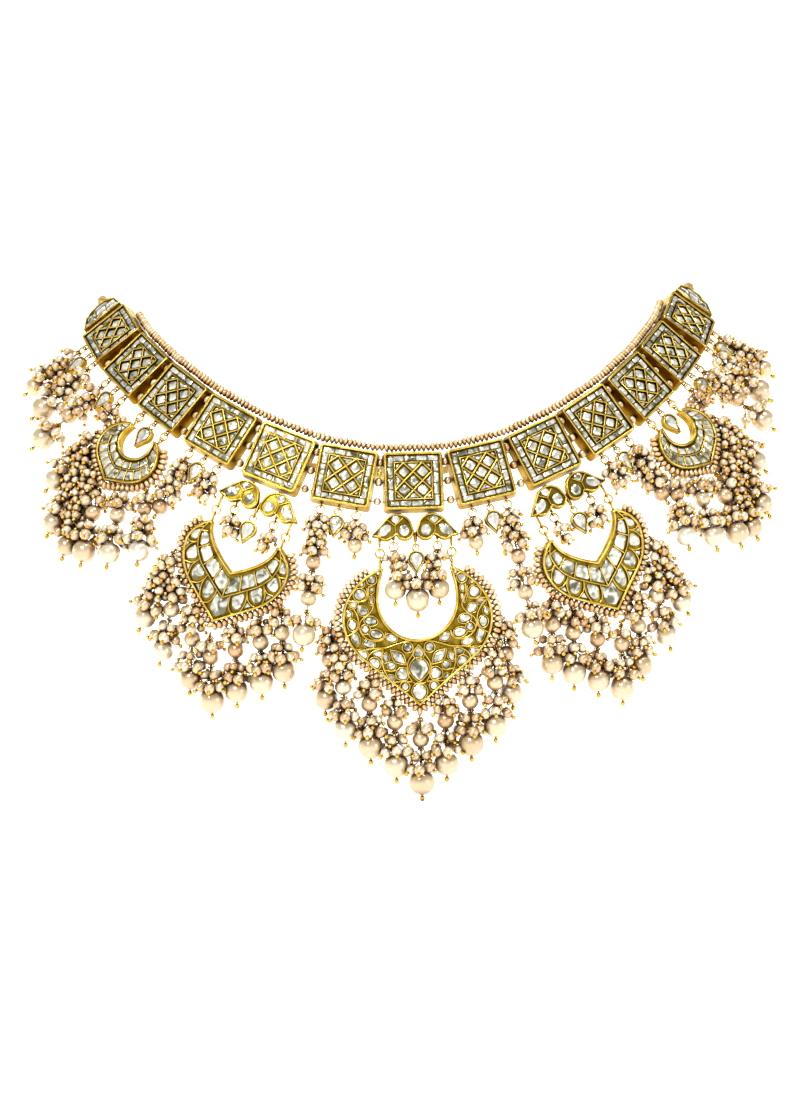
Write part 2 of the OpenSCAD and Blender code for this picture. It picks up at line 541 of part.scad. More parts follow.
module barrel_clasp() gold() translate(clasp_at) rotate([0, 90, 0])
  cylinder(h = clasp_l, d = clasp_d, center = true);

module plaque_at(i) gold() half(i < 7) plaque(abs(i - 7), abs(i - 7) != 0 && abs(i - 7) != 2);
module stone_drop_at(i) half(i < 7) if (i == 5 || i == 7 || i == 9) drop_of_pair(abs(i - 7));
  else drop_of_plaque(abs(i - 7));
module pair_with_gems(k, c) {
  gold() paisley_pair(k, horn_x(c));
  stone() paisley_gems(k);
}
module mouth_wires() {
  mouth_strands(0, LARGE_MOUTH) ringed_wires();
  drop_strand(0) gold() strand_wire($tiers, seat_gap);
}
module mouth_pearls() {
  mouth_strands(0, LARGE_MOUTH) pearls();
  drop_strand(0) pearls();
}

plaque_at(1);  // plaque_1
plaque_at(2);  // plaque_2
plaque_at(3);  // plaque_3
plaque_at(4);  // plaque_4
plaque_at(5);  // plaque_5
plaque_at(6);  // plaque_6
plaque_at(7);  // plaque_7
plaque_at(8);  // plaque_8
plaque_at(9);  // plaque_9
plaque_at(10);  // plaque_10
plaque_at(11);  // plaque_11
plaque_at(12);  // plaque_12
plaque_at(13);  // plaque_13
gold() half(true) terminal();  // terminal_left
gold() terminal();  // terminal_right
plaque_threads();
top_seed_string();
half(true) pair_with_gems(2, MEDIUM);  // paisley_pair_left
pair_with_gems(0, LARGE);  // paisley_pair_centre
pair_with_gems(2, MEDIUM);  // paisley_pair_right
half(true) at(small_frame) crescent(SMALL, SMALL_GEMS, small_drop);  // crescent_small_left
half(true) at(medium_frame) crescent(MEDIUM, MEDIUM_GEMS, medium_drop);  // crescent_medium_left
at(large_frame) crescent(LARGE, LARGE_GEMS, horn_drop);  // crescent_large
at(medium_frame) crescent(MEDIUM, MEDIUM_GEMS, medium_drop);  // crescent_medium_right
at(small_frame) crescent(SMALL, SMALL_GEMS, small_drop);  // crescent_small_right
half(true) at(small_frame) rim(SMALL, small_drop);  // rim_small_left
half(true) at(medium_frame) rim(MEDIUM, medium_drop);  // rim_medium_left
at(large_frame) rim(LARGE, horn_drop);  // rim_large
at(medium_frame) rim(MEDIUM, medium_drop);  // rim_medium_right
at(small_frame) rim(SMALL, small_drop);  // rim_small_right
stone_drop_at(1);  // stone_drop_1
stone_drop_at(2);  // stone_drop_2
stone_drop_at(3);  // stone_drop_3
stone_drop_at(4);  // stone_drop_4
stone_drop_at(5);  // stone_drop_5
stone_drop_at(6);  // stone_drop_6
stone_drop_at(7);  // stone_drop_7
stone_drop_at(8);  // stone_drop_8
stone_drop_at(9);  // stone_drop_9
stone_drop_at(10);  // stone_drop_10
stone_drop_at(11);  // stone_drop_11
stone_drop_at(12);  // stone_drop_12
stone_drop_at(13);  // stone_drop_13
jump_rings();
large_fringe() wires();  // wires_large
half(true) medium_fringe() wires();  // wires_medium_left
medium_fringe() wires();  // wires_medium_right
side_wires(true);  // wires_left
side_wires(false);  // wires_right
mouth_wires();  // wires_mouth
large_fringe() pearls();  // pearls_large
half(true) medium_fringe() pearls();  // pearls_medium_left
medium_fringe() pearls();  // pearls_medium_right
side_pearls(true);  // pearls_left
side_pearls(false);  // pearls_right
mouth_pearls();  // pearls_mouth
half(true) cord();  // cord_left
cord();  // cord_right
barrel_clasp();
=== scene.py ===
import itertools
import json
import math
import random

import bmesh
import bpy
from mathutils import Matrix, Vector


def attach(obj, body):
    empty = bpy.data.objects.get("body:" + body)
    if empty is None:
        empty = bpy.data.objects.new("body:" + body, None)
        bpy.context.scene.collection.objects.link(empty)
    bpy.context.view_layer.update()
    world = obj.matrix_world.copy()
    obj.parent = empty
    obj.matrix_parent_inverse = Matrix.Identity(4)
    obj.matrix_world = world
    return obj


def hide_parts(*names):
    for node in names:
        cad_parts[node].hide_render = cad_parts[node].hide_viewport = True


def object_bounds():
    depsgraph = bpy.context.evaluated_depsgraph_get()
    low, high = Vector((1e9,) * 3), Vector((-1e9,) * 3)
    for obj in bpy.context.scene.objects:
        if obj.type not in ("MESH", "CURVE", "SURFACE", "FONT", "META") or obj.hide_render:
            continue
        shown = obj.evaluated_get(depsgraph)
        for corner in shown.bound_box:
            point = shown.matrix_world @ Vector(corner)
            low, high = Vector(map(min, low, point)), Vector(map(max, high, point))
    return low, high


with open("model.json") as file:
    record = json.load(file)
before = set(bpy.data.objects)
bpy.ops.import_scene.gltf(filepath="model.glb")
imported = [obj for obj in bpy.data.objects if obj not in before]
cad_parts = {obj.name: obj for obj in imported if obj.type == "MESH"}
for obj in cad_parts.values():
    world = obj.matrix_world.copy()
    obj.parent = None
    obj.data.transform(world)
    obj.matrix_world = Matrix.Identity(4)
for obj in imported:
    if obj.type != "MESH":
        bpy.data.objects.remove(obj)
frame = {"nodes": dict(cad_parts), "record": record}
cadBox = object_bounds()
mm = 0.001
identity = Matrix.Identity(4)
mirrorX = Matrix.Diagonal((-1, 1, 1, 1))


def sinD(angle):
    return math.sin(math.radians(angle))


def cosD(angle):
    return math.cos(math.radians(angle))


def frameOf(x, y, z, origin):
    return Matrix([(x[i], y[i], z[i], origin[i]) for i in range(3)] + [(0, 0, 0, 1)])


def linked(name, data):
    thing = bpy.data.objects.new(name, data)
    bpy.context.scene.collection.objects.link(thing)
    return thing


# ---- camera: the photograph's view, found from the corners of the plaques ----
cameraView = {
    "aim": (0, -55, -20),  # face of the middle plaque, mm
    "distance": 608,
    "azimuth": -2.86,
    "elevation": 0.33,
    "roll": 1.5,
    "lens": 76.45,
    "shiftX": -13.6 / 1100,
    "shiftY": -69.6 / 1100,
}


def makeCamera(view):
    az, el, roll = view["azimuth"], view["elevation"], view["roll"]
    right = Vector((cosD(az), sinD(az), 0))
    back = Vector((sinD(az) * cosD(el), -cosD(az) * cosD(el), sinD(el)))
    up = back.cross(right)
    right, up = right * cosD(roll) - up * sinD(roll), right * sinD(roll) + up * cosD(roll)
    data = bpy.data.cameras.new("camera")
    data.lens = view["lens"]
    data.sensor_width = 36
    data.shift_x, data.shift_y = view["shiftX"], view["shiftY"]
    camera = linked("camera", data)
    camera.matrix_world = frameOf(right, up, back, (Vector(view["aim"]) + back * view["distance"]) * mm)
    bpy.context.scene.camera = camera


makeCamera(cameraView)

# ---- materials ----


def hexColour(code):
    parts = [int(code[i : i + 2], 16) / 255 for i in (1, 3, 5)]
    return tuple(c / 12.92 if c <= 0.04045 else ((c + 0.055) / 1.055) ** 2.4 for c in parts) + (1,)


def addNode(tree, kind, inputs=None, **settings):
    node = tree.nodes.new(kind)
    for key, value in settings.items():
        setattr(node, key, value)
    for key, value in (inputs or {}).items():
        if isinstance(value, bpy.types.NodeSocket):
            tree.links.new(value, node.inputs[key])
        else:
            node.inputs[key].default_value = value
    return node


def newMaterial(name, **shader):
    material = bpy.data.materials.new(name)
    material.use_nodes = True
    tree = material.node_tree
    surface = tree.nodes["Principled BSDF"]
    for key, value in shader.items():
        surface.inputs[key.replace("_", " ")].default_value = value
    place = addNode(tree, "ShaderNodeTexCoord").outputs["Object"]
    return material, tree, surface, place


def ramp(tree, factor, stops):
    node = addNode(tree, "ShaderNodeValToRGB", {"Fac": factor})
    band = node.color_ramp
    while len(band.elements) < len(stops):
        band.elements.new(0.5)
    for element, (spot, code) in zip(band.elements, stops):
        element.position = spot
        element.color = hexColour(code)
    return node.outputs["Color"]


def noise(tree, place, scale, detail, distortion=0.0):
    inputs = {"Vector": place, "Scale": scale, "Detail": detail, "Distortion": distortion}
    return addNode(tree, "ShaderNodeTexNoise", inputs).outputs["Fac"]


def mapRange(tree, value, *limits):
    # limits: from, to, and the two results between which they map, which are 0 and 1 if not given
    inputs = {"Value": value, **dict(enumerate(limits, 1))}
    return addNode(tree, "ShaderNodeMapRange", inputs).outputs["Result"]


def multiplyAdd(tree, value, factor, more):
    inputs = {0: value, 1: factor, 2: more}
    return addNode(tree, "ShaderNodeMath", inputs, operation="MULTIPLY_ADD").outputs["Value"]


def perIsland(tree):
    return addNode(tree, "ShaderNodeNewGeometry").outputs["Random Per Island"]


def addBump(tree, surface, height, strength, distance):
    bump = addNode(tree, "ShaderNodeBump", {"Height": height, "Strength": strength, "Distance": distance})
    tree.links.new(bump.outputs["Normal"], surface.inputs["Normal"])


def shadeRecesses(tree, colour, shadeColour, reach, first, last):
    # painted shade: where surfaces crowd each other, the colour goes over to a darker shade colour; reach in metres
    near = addNode(tree, "ShaderNodeAmbientOcclusion", {"Distance": reach}, samples=6).outputs["AO"]
    blend = addNode(tree, "ShaderNodeMix", {"Factor": mapRange(tree, near, first, last)}, data_type="RGBA")
    blend.inputs[6].default_value = hexColour(shadeColour)
    tree.links.new(colour, blend.inputs[7])
    return blend.outputs[2]


def makeGold(name, light, mid, dark, roughness):
    # 22 carat gold foil burnished by hand over a lac core: warm, slightly uneven, softly scratched
    material, tree, surface, place = newMaterial(name, Metallic=1.0, Roughness=roughness)
    cloud = noise(tree, place, 380, 4)  # 2.5 mm patches
    colour = ramp(tree, cloud, [(0.3, dark), (0.5, mid), (0.72, light)])
    # painted shade: the gold darkens to a deep olive in its recesses
    tree.links.new(shadeRecesses(tree, colour, "#463A10", 0.0018, 0.2, 0.85), surface.inputs["Base Color"])
    wear = mapRange(tree, cloud, 0.3, 0.7, roughness + 0.1, roughness - 0.08)
    tree.links.new(wear, surface.inputs["Roughness"])
    addBump(tree, surface, noise(tree, place, 1500, 2), 0.35, 0.00012)  # 0.7 mm tool marks
    return material


def makeKundan():
    # uncut diamonds on burnished silver foil: white to cool grey stone by stone, with a crinkle under the gloss whose
    # colour also paints a light and a dark side on each stone
    material, tree, surface, place = newMaterial(
        "foilBackedStone", Metallic=0.4, Roughness=0.12, IOR=1.9, Coat_Weight=1.0, Coat_Roughness=0.03
    )
    # crinkles of 2.4 mm, which bump the foil and also paint a light and a dark side on each stone, as painted light and
    # shade
    crinkleAndPaintedShade = noise(tree, place, 420, 1.2, 0.8)
    tone = multiplyAdd(tree, perIsland(tree), 0.34, multiplyAdd(tree, crinkleAndPaintedShade, 2.0, -0.65))
    colour = ramp(tree, tone, [(0.12, "#76745F"), (0.3, "#ADADA0"), (0.5, "#DADBD1"), (0.75, "#F5F5EF")])
    tree.links.new(colour, surface.inputs["Base Color"])
    addBump(tree, surface, crinkleAndPaintedShade, 0.8, 0.0006)
    return material


def makePearl(name, light, mid, dark, creviceShade, reach):
    # saltwater pearl: satin nacre over a cream body, each pearl its own tone, with painted warm shade where pearls
    # crowd each other
    material, tree, surface, place = newMaterial(
        name, Metallic=0.35, Roughness=0.25, IOR=1.66, Coat_Weight=1.0, Coat_Roughness=0.1, Coat_IOR=2.1
    )
    tone = multiplyAdd(tree, noise(tree, place, 260, 2), 0.25, perIsland(tree))
    body = ramp(tree, tone, [(0.15, dark), (0.6, mid), (0.95, light)])
    tree.links.new(shadeRecesses(tree, body, creviceShade, reach, 0.1, 0.8), surface.inputs["Base Color"])
    addBump(tree, surface, noise(tree, place, 1400, 2), 0.06, 0.0001)
    return material


def makeSilk():
    # gold-coloured silk cord: a fine mottle of filaments with a soft sheen
    material, tree, surface, place = newMaterial("twistedSilk", Roughness=0.55, Sheen_Weight=0.6)
    strands = noise(tree, place, 2600, 2)
    tree.links.new(ramp(tree, strands, [(0.3, "#A07A2E"), (0.7, "#D2AE62")]), surface.inputs["Base Color"])
    addBump(tree, surface, strands, 0.4, 0.00015)
    return material


gold = makeGold("burnishedGold", "#FAE492", "#ECCD6C", "#D4AF4A", 0.26)
# a darker copy of the gold for the side walls, as painted shade
wallShadeGold = makeGold("foilGoldWallPaintedShade", "#CDAA48", "#BA963C", "#A1802F", 0.34)
# a darker olive copy of the gold for the sunken beds, as painted shade
groundShadeGold = makeGold("oliveGoldPaintedShade", "#C9B059", "#A6903C", "#746528", 0.36)
# a lighter copy of the gold for the wires and pin balls, as painted light
wireGold = makeGold("drawnGoldWire", "#FFE28A", "#F9C95E", "#E5AE48", 0.2)
kundan = makeKundan()
largePearl = makePearl("creamPearl", "#F8F0DF", "#ECDDC0", "#DAC29B", "#6E4A22", 0.004)
smallPearl = makePearl("beigePearl", "#F7E7CA", "#EBD3AB", "#D9B486", "#5E3A17", 0.0036)
seedPearl = makePearl("orangeBeigeSeedPearl", "#FCE6BC", "#F6D29A", "#E8B87A", "#7A4C1E", 0.002)
silk = makeSilk()
# the materials of every setting, and their places in its list
setting = [gold, groundShadeGold, kundan, wireGold, wallShadeGold]
edgeSlot, groundSlot, stoneSlot, wireSlot, wallSlot = range(5)
print("materials ready")

# ---- the collar's own frames, as in the model's source, in mm ----
collar = {
    "width": 16.2,
    "depth": 4.0,
    "taper": 0.5,
    "gap": 2.0,
    "front": 55.0,
    "drop": 20.0,
    # turn round the neck, climb, lean of the face; the last row is the end piece
    "rows": [
        (0, 0, 11),
        (6, 11.5, 12),
        (15, 22.5, 15),
        (27, 28.5, 20),
        (42, 31.5, 28),
        (54, 31.5, 37),
        (68, 31.5, 46),
        (82, 27, 50),
    ],
}
ringR, eyeR, sealGap, seedR = 1.15, 0.7, 0.15, 1.0
eyeWire, postWire, threadWire = 0.2, 0.36, 0.2


def across(k):
    turn, climb, _ = collar["rows"][k]
    return Vector((cosD(climb) * cosD(turn), cosD(climb) * sinD(turn), sinD(climb)))


def outward(k):
    turn = collar["rows"][k][0]
    return Vector((sinD(turn), -cosD(turn), 0))


def faceOut(k):
    lean = collar["rows"][k][2]
    return cosD(lean) * outward(k) + sinD(lean) * outward(k).cross(across(k))


def placeOf(k):
    if k == 0:
        return Vector((0, -collar["front"], -collar["drop"]))
    pitch = collar["width"] + collar["gap"]
    return placeOf(k - 1) + pitch / 2 * (across(k - 1) + across(k))


def rowFrame(k):
    x, z = across(k), faceOut(k)
    return frameOf(x, z.cross(x), z, placeOf(k))


def hingeY(drop):
    return -collar["width"] / 2 - drop


eyeY = -(collar["width"] / 2 - collar["taper"] / 2) - eyeR
lugX = 0.29 * collar["width"]
midDepth = -collar["depth"] / 2
hingeDrop, hornDrop = 11.8, 2.9
# how far down the eyes of a paisley pair hang: those for the bunches, and the one for its stone drop
mouthY, pearY = hingeY(0.66 * hingeDrop), hingeY(0.71 * hingeDrop)


def hung(k, x, y):
    return rowFrame(k) @ Matrix.Translation((x, y, midDepth))


def hingeFrame(k):
    x = across(k)
    up = (Vector((0, 0, 1)) - x.z * x).normalized()
    return frameOf(x, up, x.cross(up), rowFrame(k) @ Vector((0, hingeY(hingeDrop), midDepth)))


def lyingFrame(k):
    return hung(k, 0, eyeY - 2 * ringR)


def plumbTurn(f):
    return -math.degrees(math.atan2(f[2][0], f[2][1]))


# ---- making meshes ----


ballShapes = {}


def addBall(bm, matrix, radius, slot, rings=6):
    # one small sphere is made for each fineness, then copied, which keeps the pearl groups quick
    if (rings, slot) not in ballShapes:
        shape = bmesh.new()
        bmesh.ops.create_uvsphere(shape, u_segments=rings + 2, v_segments=rings, radius=1)
        # its edges and faces come in another order each run, and the random tone of a pearl hangs on that order
        shape.verts.index_update()
        corners = [corner.co.copy() for corner in shape.verts]
        faces = sorted([corner.index for corner in face.verts] for face in shape.faces)
        shape.free()
        ball = ballShapes[rings, slot] = bpy.data.meshes.new("ball")
        ball.from_pydata(corners, [], faces)
        for face in ball.polygons:
            face.material_index, face.use_smooth = slot, True
    mesh = ballShapes[rings, slot].copy()
    mesh.transform(matrix @ Matrix.Scale(radius, 4))
    bm.from_mesh(mesh)
    bpy.data.meshes.remove(mesh)


def wireMesh(wires, sides=2):
    data = bpy.data.curves.new("wire", "CURVE")
    data.dimensions = "3D"
    data.bevel_depth = 1.0
    data.bevel_resolution = sides - 1
    data.use_fill_caps = True
    for points, radius, closed in wires:
        spline = data.splines.new("POLY")
        spline.points.add(len(points) - 1)
        for spot, point in zip(spline.points, points):
            spot.co = (point[0], point[1], point[2], 1)
            spot.radius = radius
        spline.use_cyclic_u = closed
    holder = linked("wire", data)
    bpy.context.view_layer.update()
    mesh = bpy.data.meshes.new_from_object(holder.evaluated_get(bpy.context.evaluated_depsgraph_get()))
    bpy.data.objects.remove(holder)
    bpy.data.curves.remove(data)
    return mesh


def addWires(bm, wires, slot, sides=2):
    mesh = wireMesh(wires, sides)
    count = len(mesh.polygons)
    mesh.polygons.foreach_set("material_index", [slot] * count)
    mesh.polygons.foreach_set("use_smooth", [True] * count)
    bm.from_mesh(mesh)
    bpy.data.meshes.remove(mesh)


def finishPiece(bm, name, materials, node, matrix=None):
    if matrix is not None:
        bmesh.ops.transform(bm, matrix=matrix, verts=bm.verts)
        if matrix.determinant() < 0:
            bmesh.ops.reverse_faces(bm, faces=bm.faces)
    bmesh.ops.scale(bm, vec=(mm, mm, mm), verts=bm.verts)
    mesh = bpy.data.meshes.new(name)
    bm.to_mesh(mesh)
    bm.free()
    for material in materials:
        mesh.materials.append(material)
    piece = linked(name, mesh)
    bodies = frame["record"]["behaviour"]["bodies"]
    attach(piece, [body for body, nodes in bodies.items() if node in nodes][0])
    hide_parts(node)
    return piece


def ringPoints(centre, radius, axis, count=14):
    turn = Vector((0, 0, 1)).rotation_difference(Vector(axis)).to_matrix()
    angles = [a * 360 / count for a in range(count)]
    return [Vector(centre) + turn @ Vector((radius * cosD(a), radius * sinD(a), 0)) for a in angles]


def eyeAt(x, y, z=0):
    return ringPoints((x, y, z), eyeR, (1, 0, 0)), eyeWire, True


def turnTo(way):
    return Vector((0, 0, 1)).rotation_difference(way.normalized()).to_matrix().to_4x4()


def lifted(points, z, side=1):
    return [(side * p[0], p[1], z) for p in points]


def flat(points, side=1):
    return [(side * p[0], p[1]) for p in points]


# Stones: an outline is drawn, raised, then drawn in twice for sloping facets and a table
stoneCut = {"height": 0.24, "crown": 0.24, "table": 0.56, "peak": 0.05, "corner": 0.35}


def cutCorners(outline, by):
    if len(outline) > 8:
        return outline
    points = []
    for i, here in enumerate(outline):
        for other in (outline[i - 1], outline[(i + 1) % len(outline)]):
            size = math.hypot(other[0] - here[0], other[1] - here[1])
            share = min(by, 0.3 * size) / size
            points.append((here[0] + (other[0] - here[0]) * share, here[1] + (other[1] - here[1]) * share))
    return points


def newTop(bm, face, keepOld=False):
    raised = bmesh.ops.extrude_face_region(bm, geom=[face], use_keep_orig=keepOld)
    return [g for g in raised["geom"] if isinstance(g, bmesh.types.BMFace)][0]


def addStone(bm, outline, baseZ, slot, dice, cut=stoneCut, tilt=0.09):
    face = bm.faces.new([bm.verts.new((x, y, baseZ)) for x, y in cutCorners(outline, cut["corner"])])
    face.normal_update()
    if face.normal.z < 0:
        face.normal_flip()
    for lift, share in ((cut["height"], 1.0), (cut["crown"], cut["table"])):
        face = newTop(bm, face)
        verts = list(face.verts)
        centre = face.calc_center_median()
        bmesh.ops.scale(bm, vec=(share, share, 1), space=Matrix.Translation(-centre), verts=verts)
        bmesh.ops.translate(bm, vec=(0, 0, lift), verts=verts)
    lean = Matrix.Rotation(dice.uniform(-tilt, tilt), 4, "X") @ Matrix.Rotation(dice.uniform(-tilt, tilt), 4, "Y")
    bmesh.ops.transform(bm, matrix=lean, space=Matrix.Translation(-face.calc_center_median()), verts=verts)
    poked = bmesh.ops.poke(bm, faces=[face])
    for vert in poked["verts"]:
        vert.co += Vector((dice.uniform(-0.12, 0.12), dice.uniform(-0.12, 0.12), cut["peak"] + dice.uniform(0, 0.06)))
    walk, seen = [poked["faces"][0]], set()
    while walk:
        here = walk.pop()
        if here in seen:
            continue
        seen.add(here)
        here.material_index = slot
        here.smooth = False
        for edge in here.edges:
            walk.extend(f for f in edge.link_faces if f not in seen)


def shrink(outline, by):
    cx = sum(p[0] for p in outline) / len(outline)
    cy = sum(p[1] for p in outline) / len(outline)
    size = max(math.hypot(p[0] - cx, p[1] - cy) for p in outline)
    share = max(0.3, 1 - by / size * 1.25)
    return [(cx + (p[0] - cx) * share, cy + (p[1] - cy) * share) for p in outline]


def ovalOutline(x, y, width, height, turn=0, count=10, point=0.0):
    # point draws the lower end in, from 0 for an oval to 1 for a sharp pear; a negative one draws in both ends
    points = []
    for i in range(count):
        a = 360 * i / count - 90
        px, py = width / 2 * cosD(a), height / 2 * sinD(a)
        drawn = abs(point) * abs(sinD(a)) ** 1.5 * (1 if sinD(a) < 0 or point < 0 else 0)
        px *= 1 - 0.8 * drawn
        points.append((x + px * cosD(turn) - py * sinD(turn), y + px * sinD(turn) + py * cosD(turn)))
    return points


def addSlab(bm, outline, z0, z1):
    face = bm.faces.new([bm.verts.new((x, y, z0)) for x, y in outline])
    face.normal_update()
    if face.normal.z > 0:
        face.normal_flip()
    top = newTop(bm, face, True)
    bmesh.ops.translate(bm, vec=(0, 0, z1 - z0), verts=list(top.verts))
    slab = {face, top, *(f for v in top.verts for f in v.link_faces)}
    bmesh.ops.recalc_face_normals(bm, faces=list(slab))
    for f in slab:
        f.material_index = wallSlot
        f.smooth = False


def paintGround(bm):
    # the beds that look out between the walls are in the darker olive gold, painted shade round the stones
    for face in bm.faces:
        if face.material_index == wallSlot and face.normal.z > 0.5:
            face.material_index = groundSlot


# ---- plaques ----
plaqueLook = {
    "rim": 0.75,
    "border": 2.2,
    "latticeIn": 0.55,
    "bed": 0.6,
    "ridge": 0.28,
    "square": 0.23,
    "edge": 0.36,
    "stonesPerSide": 4,
    "stoneIn": 0.12,
    "stoneBand": 1.45,
    "stoneGap": 0.17,
    "corner": 1.6,
    "backEdge": 0.4,
}


def quarterTurned(shape, turn):
    c, d = round(cosD(90 * turn)), round(sinD(90 * turn))
    return [(x * c - y * d, x * d + y * c) for x, y in shape]


def plaqueOutlines(look):
    # the stones of the lattice and of the border, and the gold lines, of which the first is a closed square
    face = collar["width"] - 2 * collar["taper"]
    s = face - 2 * (look["latticeIn"] + look["border"])
    h, q = s / 2, s / 4
    lattice = [
        [(2 * q, q), (q, 2 * q), (0, q), (q, 0)],
        [(q, 0), (2 * q, -q), (2 * q, q)],
        [(2 * q, 2 * q), (q, 2 * q), (2 * q, q)],
    ]
    cells = [[(q, 0), (0, q), (-q, 0), (0, -q)]]
    cells += [quarterTurned(shape, turn) for turn in range(4) for shape in lattice]
    out = face / 2 - look["rim"] - look["stoneIn"]
    n, run = look["stonesPerSide"], 2 * out - look["stoneBand"]
    y0, y1 = -out + look["stoneIn"], -out + look["stoneBand"]
    side = []
    for i in range(n):
        x0, x1 = -out + run * i / n + look["stoneGap"], -out + run * (i + 1) / n - look["stoneGap"]
        side.append([(x0, y0), (x1, y0), (x1, y1), (x0, y1)])
    border = [quarterTurned(shape, turn) for turn in range(4) for shape in side]
    bars = [[(-h, -q), (-q, -h)], [(-h, q), (q, -h)], [(-q, h), (h, -q)], [(q, h), (h, q)]]
    lines = [[(-h, -h), (h, -h), (h, h), (-h, h)]]
    lines += [[(x * sign, y) for x, y in bar] for sign in (1, -1) for bar in bars]
    return cells, border, lines


def bevelled(bm, edges, offset, segments):
    bmesh.ops.bevel(bm, geom=edges, affect="EDGES", offset=offset, segments=segments, profile=0.5, material=-1)


def makePlaque(number):
    dice = random.Random(number)
    k = abs(number - 7)
    bm = bmesh.new()
    w, t, look = collar["width"], collar["depth"], plaqueLook
    bmesh.ops.create_cube(bm, size=1)
    bmesh.ops.scale(bm, vec=(w, w, t), verts=bm.verts)
    bmesh.ops.translate(bm, vec=(0, 0, -t / 2), verts=bm.verts)
    upright = [e for e in bm.edges if abs(e.verts[0].co.z - e.verts[1].co.z) > t / 2]
    bevelled(bm, upright, look["corner"] * 0.75, 4)
    share = (w - 2 * collar["taper"]) / w
    bmesh.ops.scale(bm, vec=(share, share, 1), verts=[v for v in bm.verts if v.co.z > -0.01])
    bevelled(bm, [e for e in bm.edges if all(v.co.z < -t + 0.01 for v in e.verts)], look["backEdge"], 2)
    top = max(bm.faces, key=lambda f: f.calc_center_median().z)
    for thickness, sunk in ((look["rim"] * 0.8, 0), (0.05, look["bed"])):
        bmesh.ops.inset_region(bm, faces=[top], thickness=thickness, depth=-sunk, use_even_offset=True)
    for face in bm.faces:
        isRim = face.calc_center_median().z > -0.05 and abs(face.normal.z) > 0.5
        face.material_index = edgeSlot if isRim else wallSlot
    top.material_index = groundSlot
    rimLine = [v.co.copy() for v in sorted(top.verts, key=lambda v: math.atan2(v.co.y, v.co.x))]
    cells, border, lines = plaqueOutlines(look)
    floor = -look["bed"]
    for outline in cells:
        wobble = [(x + dice.uniform(-0.07, 0.07), y + dice.uniform(-0.07, 0.07)) for x, y in outline]
        addStone(bm, shrink(wobble, 0.68), floor, stoneSlot, dice)
    for outline in border:
        wobble = [(x + dice.uniform(-0.08, 0.08), y + dice.uniform(-0.06, 0.06)) for x, y in outline]
        addStone(bm, wobble, floor - 0.05, stoneSlot, dice, dict(stoneCut, corner=0.3, crown=0.18, table=0.66))
    wires = [([(p.x * 1.045, p.y * 1.045, -0.14) for p in rimLine], look["edge"], True)]
    for line in lines:
        jog = dice.uniform(-0.07, 0.07)
        if line is lines[0]:
            wires.append((lifted(line, -0.12), look["square"], True))
        else:
            wires.append(([(x + jog, y + jog, -0.16) for x, y in line], look["ridge"], False))
    addWires(bm, wires, edgeSlot)
    if k not in (0, 2):
        reach = hornX(crescents["small"]) if k == 4 else lugX
        addWires(bm, [eyeAt(x * reach, eyeY, midDepth) for x in (-1, 0, 1)], wireSlot)
    matrix = rowFrame(k) if number >= 7 else mirrorX @ rowFrame(k)
    finishPiece(bm, "kundanPlaque%d" % number, setting, "plaque_%d" % number, matrix)


# ---- crescents: outlines as shares of half the width and of the height ----
crescents = {
    "large": {
        "half": 19.6,
        "tall": 35.3,
        "drop": hornDrop,
        "c": (0.363, 0.417, 0.433, 0.541, 0.221, 0.419, 0.53, 2, 0.5),
    },
    "medium": {
        "half": 14.7,
        "tall": 24.0,
        "drop": hornDrop * 0.76,
        "c": (0.279, 0.395, 0.54, 0.653, 0, 1, 0.442, 1.9, 1),
    },
    "small": {
        "half": 10.5,
        "tall": 15.8,
        "drop": hornDrop * 0.55,
        "c": (0.43, 0.506, 0.48, 0.53, 0.2, 0.42, 0.5, 2, 0.5),
    },
    "depth": 3.0,
    "bed": 0.55,
    "wallTop": 0.22,
    "edge": 0.42,
    "ridge": 0.24,
    "fineRidge": 0.22,
}


def outerHalf(m, more=0.0, n=14):
    w, up, low = m["c"][0] * m["tall"], m["c"][1] * m["tall"] + more, m["c"][2] * m["tall"] + more
    tip = m["tall"] + more * 1.35 - w
    start = math.degrees(math.asin(min(1, w / up)))
    end = -math.degrees(math.asin(low / tip))
    points = []
    for i in range(n + 1):
        s = start + (end - start) * i / n
        points.append(Vector(((m["half"] + more) * cosD(s), -w + (up if s > 0 else low) * sinD(s))))
    return points + [Vector((0, -w - tip))]


def holeX(m, y):
    w = m["c"][4] * m["tall"]
    reach = m["c"][5] * m["tall"] if y > -w else (m["c"][6] - m["c"][4]) * m["tall"]
    return m["half"] * m["c"][3] * (1 - min(1, abs(y + w) / reach) ** m["c"][7]) ** m["c"][8]


def holeHalf(m, n=16):
    heights = [-sinD(90 * i / n) * m["c"][6] * m["tall"] for i in range(n + 1)]
    return [Vector((holeX(m, y), y)) for y in heights[:-1]] + [Vector((0, heights[-1]))]


def hornX(m):
    return (holeX(m, 0) + outerHalf(m)[0].x) / 2


def alongPath(path, share):
    total = [0]
    for a, b in zip(path, path[1:]):
        total.append(total[-1] + (b - a).length)
    want = share * total[-1]
    i = max(j for j in range(len(path) - 1) if total[j] <= want + 1e-9)
    return path[i] + (want - total[i]) / (total[i + 1] - total[i]) * (path[i + 1] - path[i])


def between(m, share, over):
    hole, rim = holeHalf(m)[::-1], outerHalf(m)[::-1]
    return (1 - over) * alongPath(hole, share) + over * alongPath(rim, share)


def mirrored(points):
    return [(-x, y) for x, y in points][::-1]


def smoothPath(points, parts=6):
    # a smooth line through the route's points
    out = []
    n = len(points)
    for i in range(n - 1):
        p0, p1, p2, p3 = points[max(i - 1, 0)], points[i], points[i + 1], points[min(i + 2, n - 1)]
        for j in range(parts):
            t = j / parts
            line = 2 * p1 + (p2 - p0) * t
            bend = (2 * p0 - 5 * p1 + 4 * p2 - p3) * t * t
            out.append(0.5 * (line + bend + (3 * p1 - p0 - 3 * p2 + p3) * t * t * t))
    return out + [points[-1]]


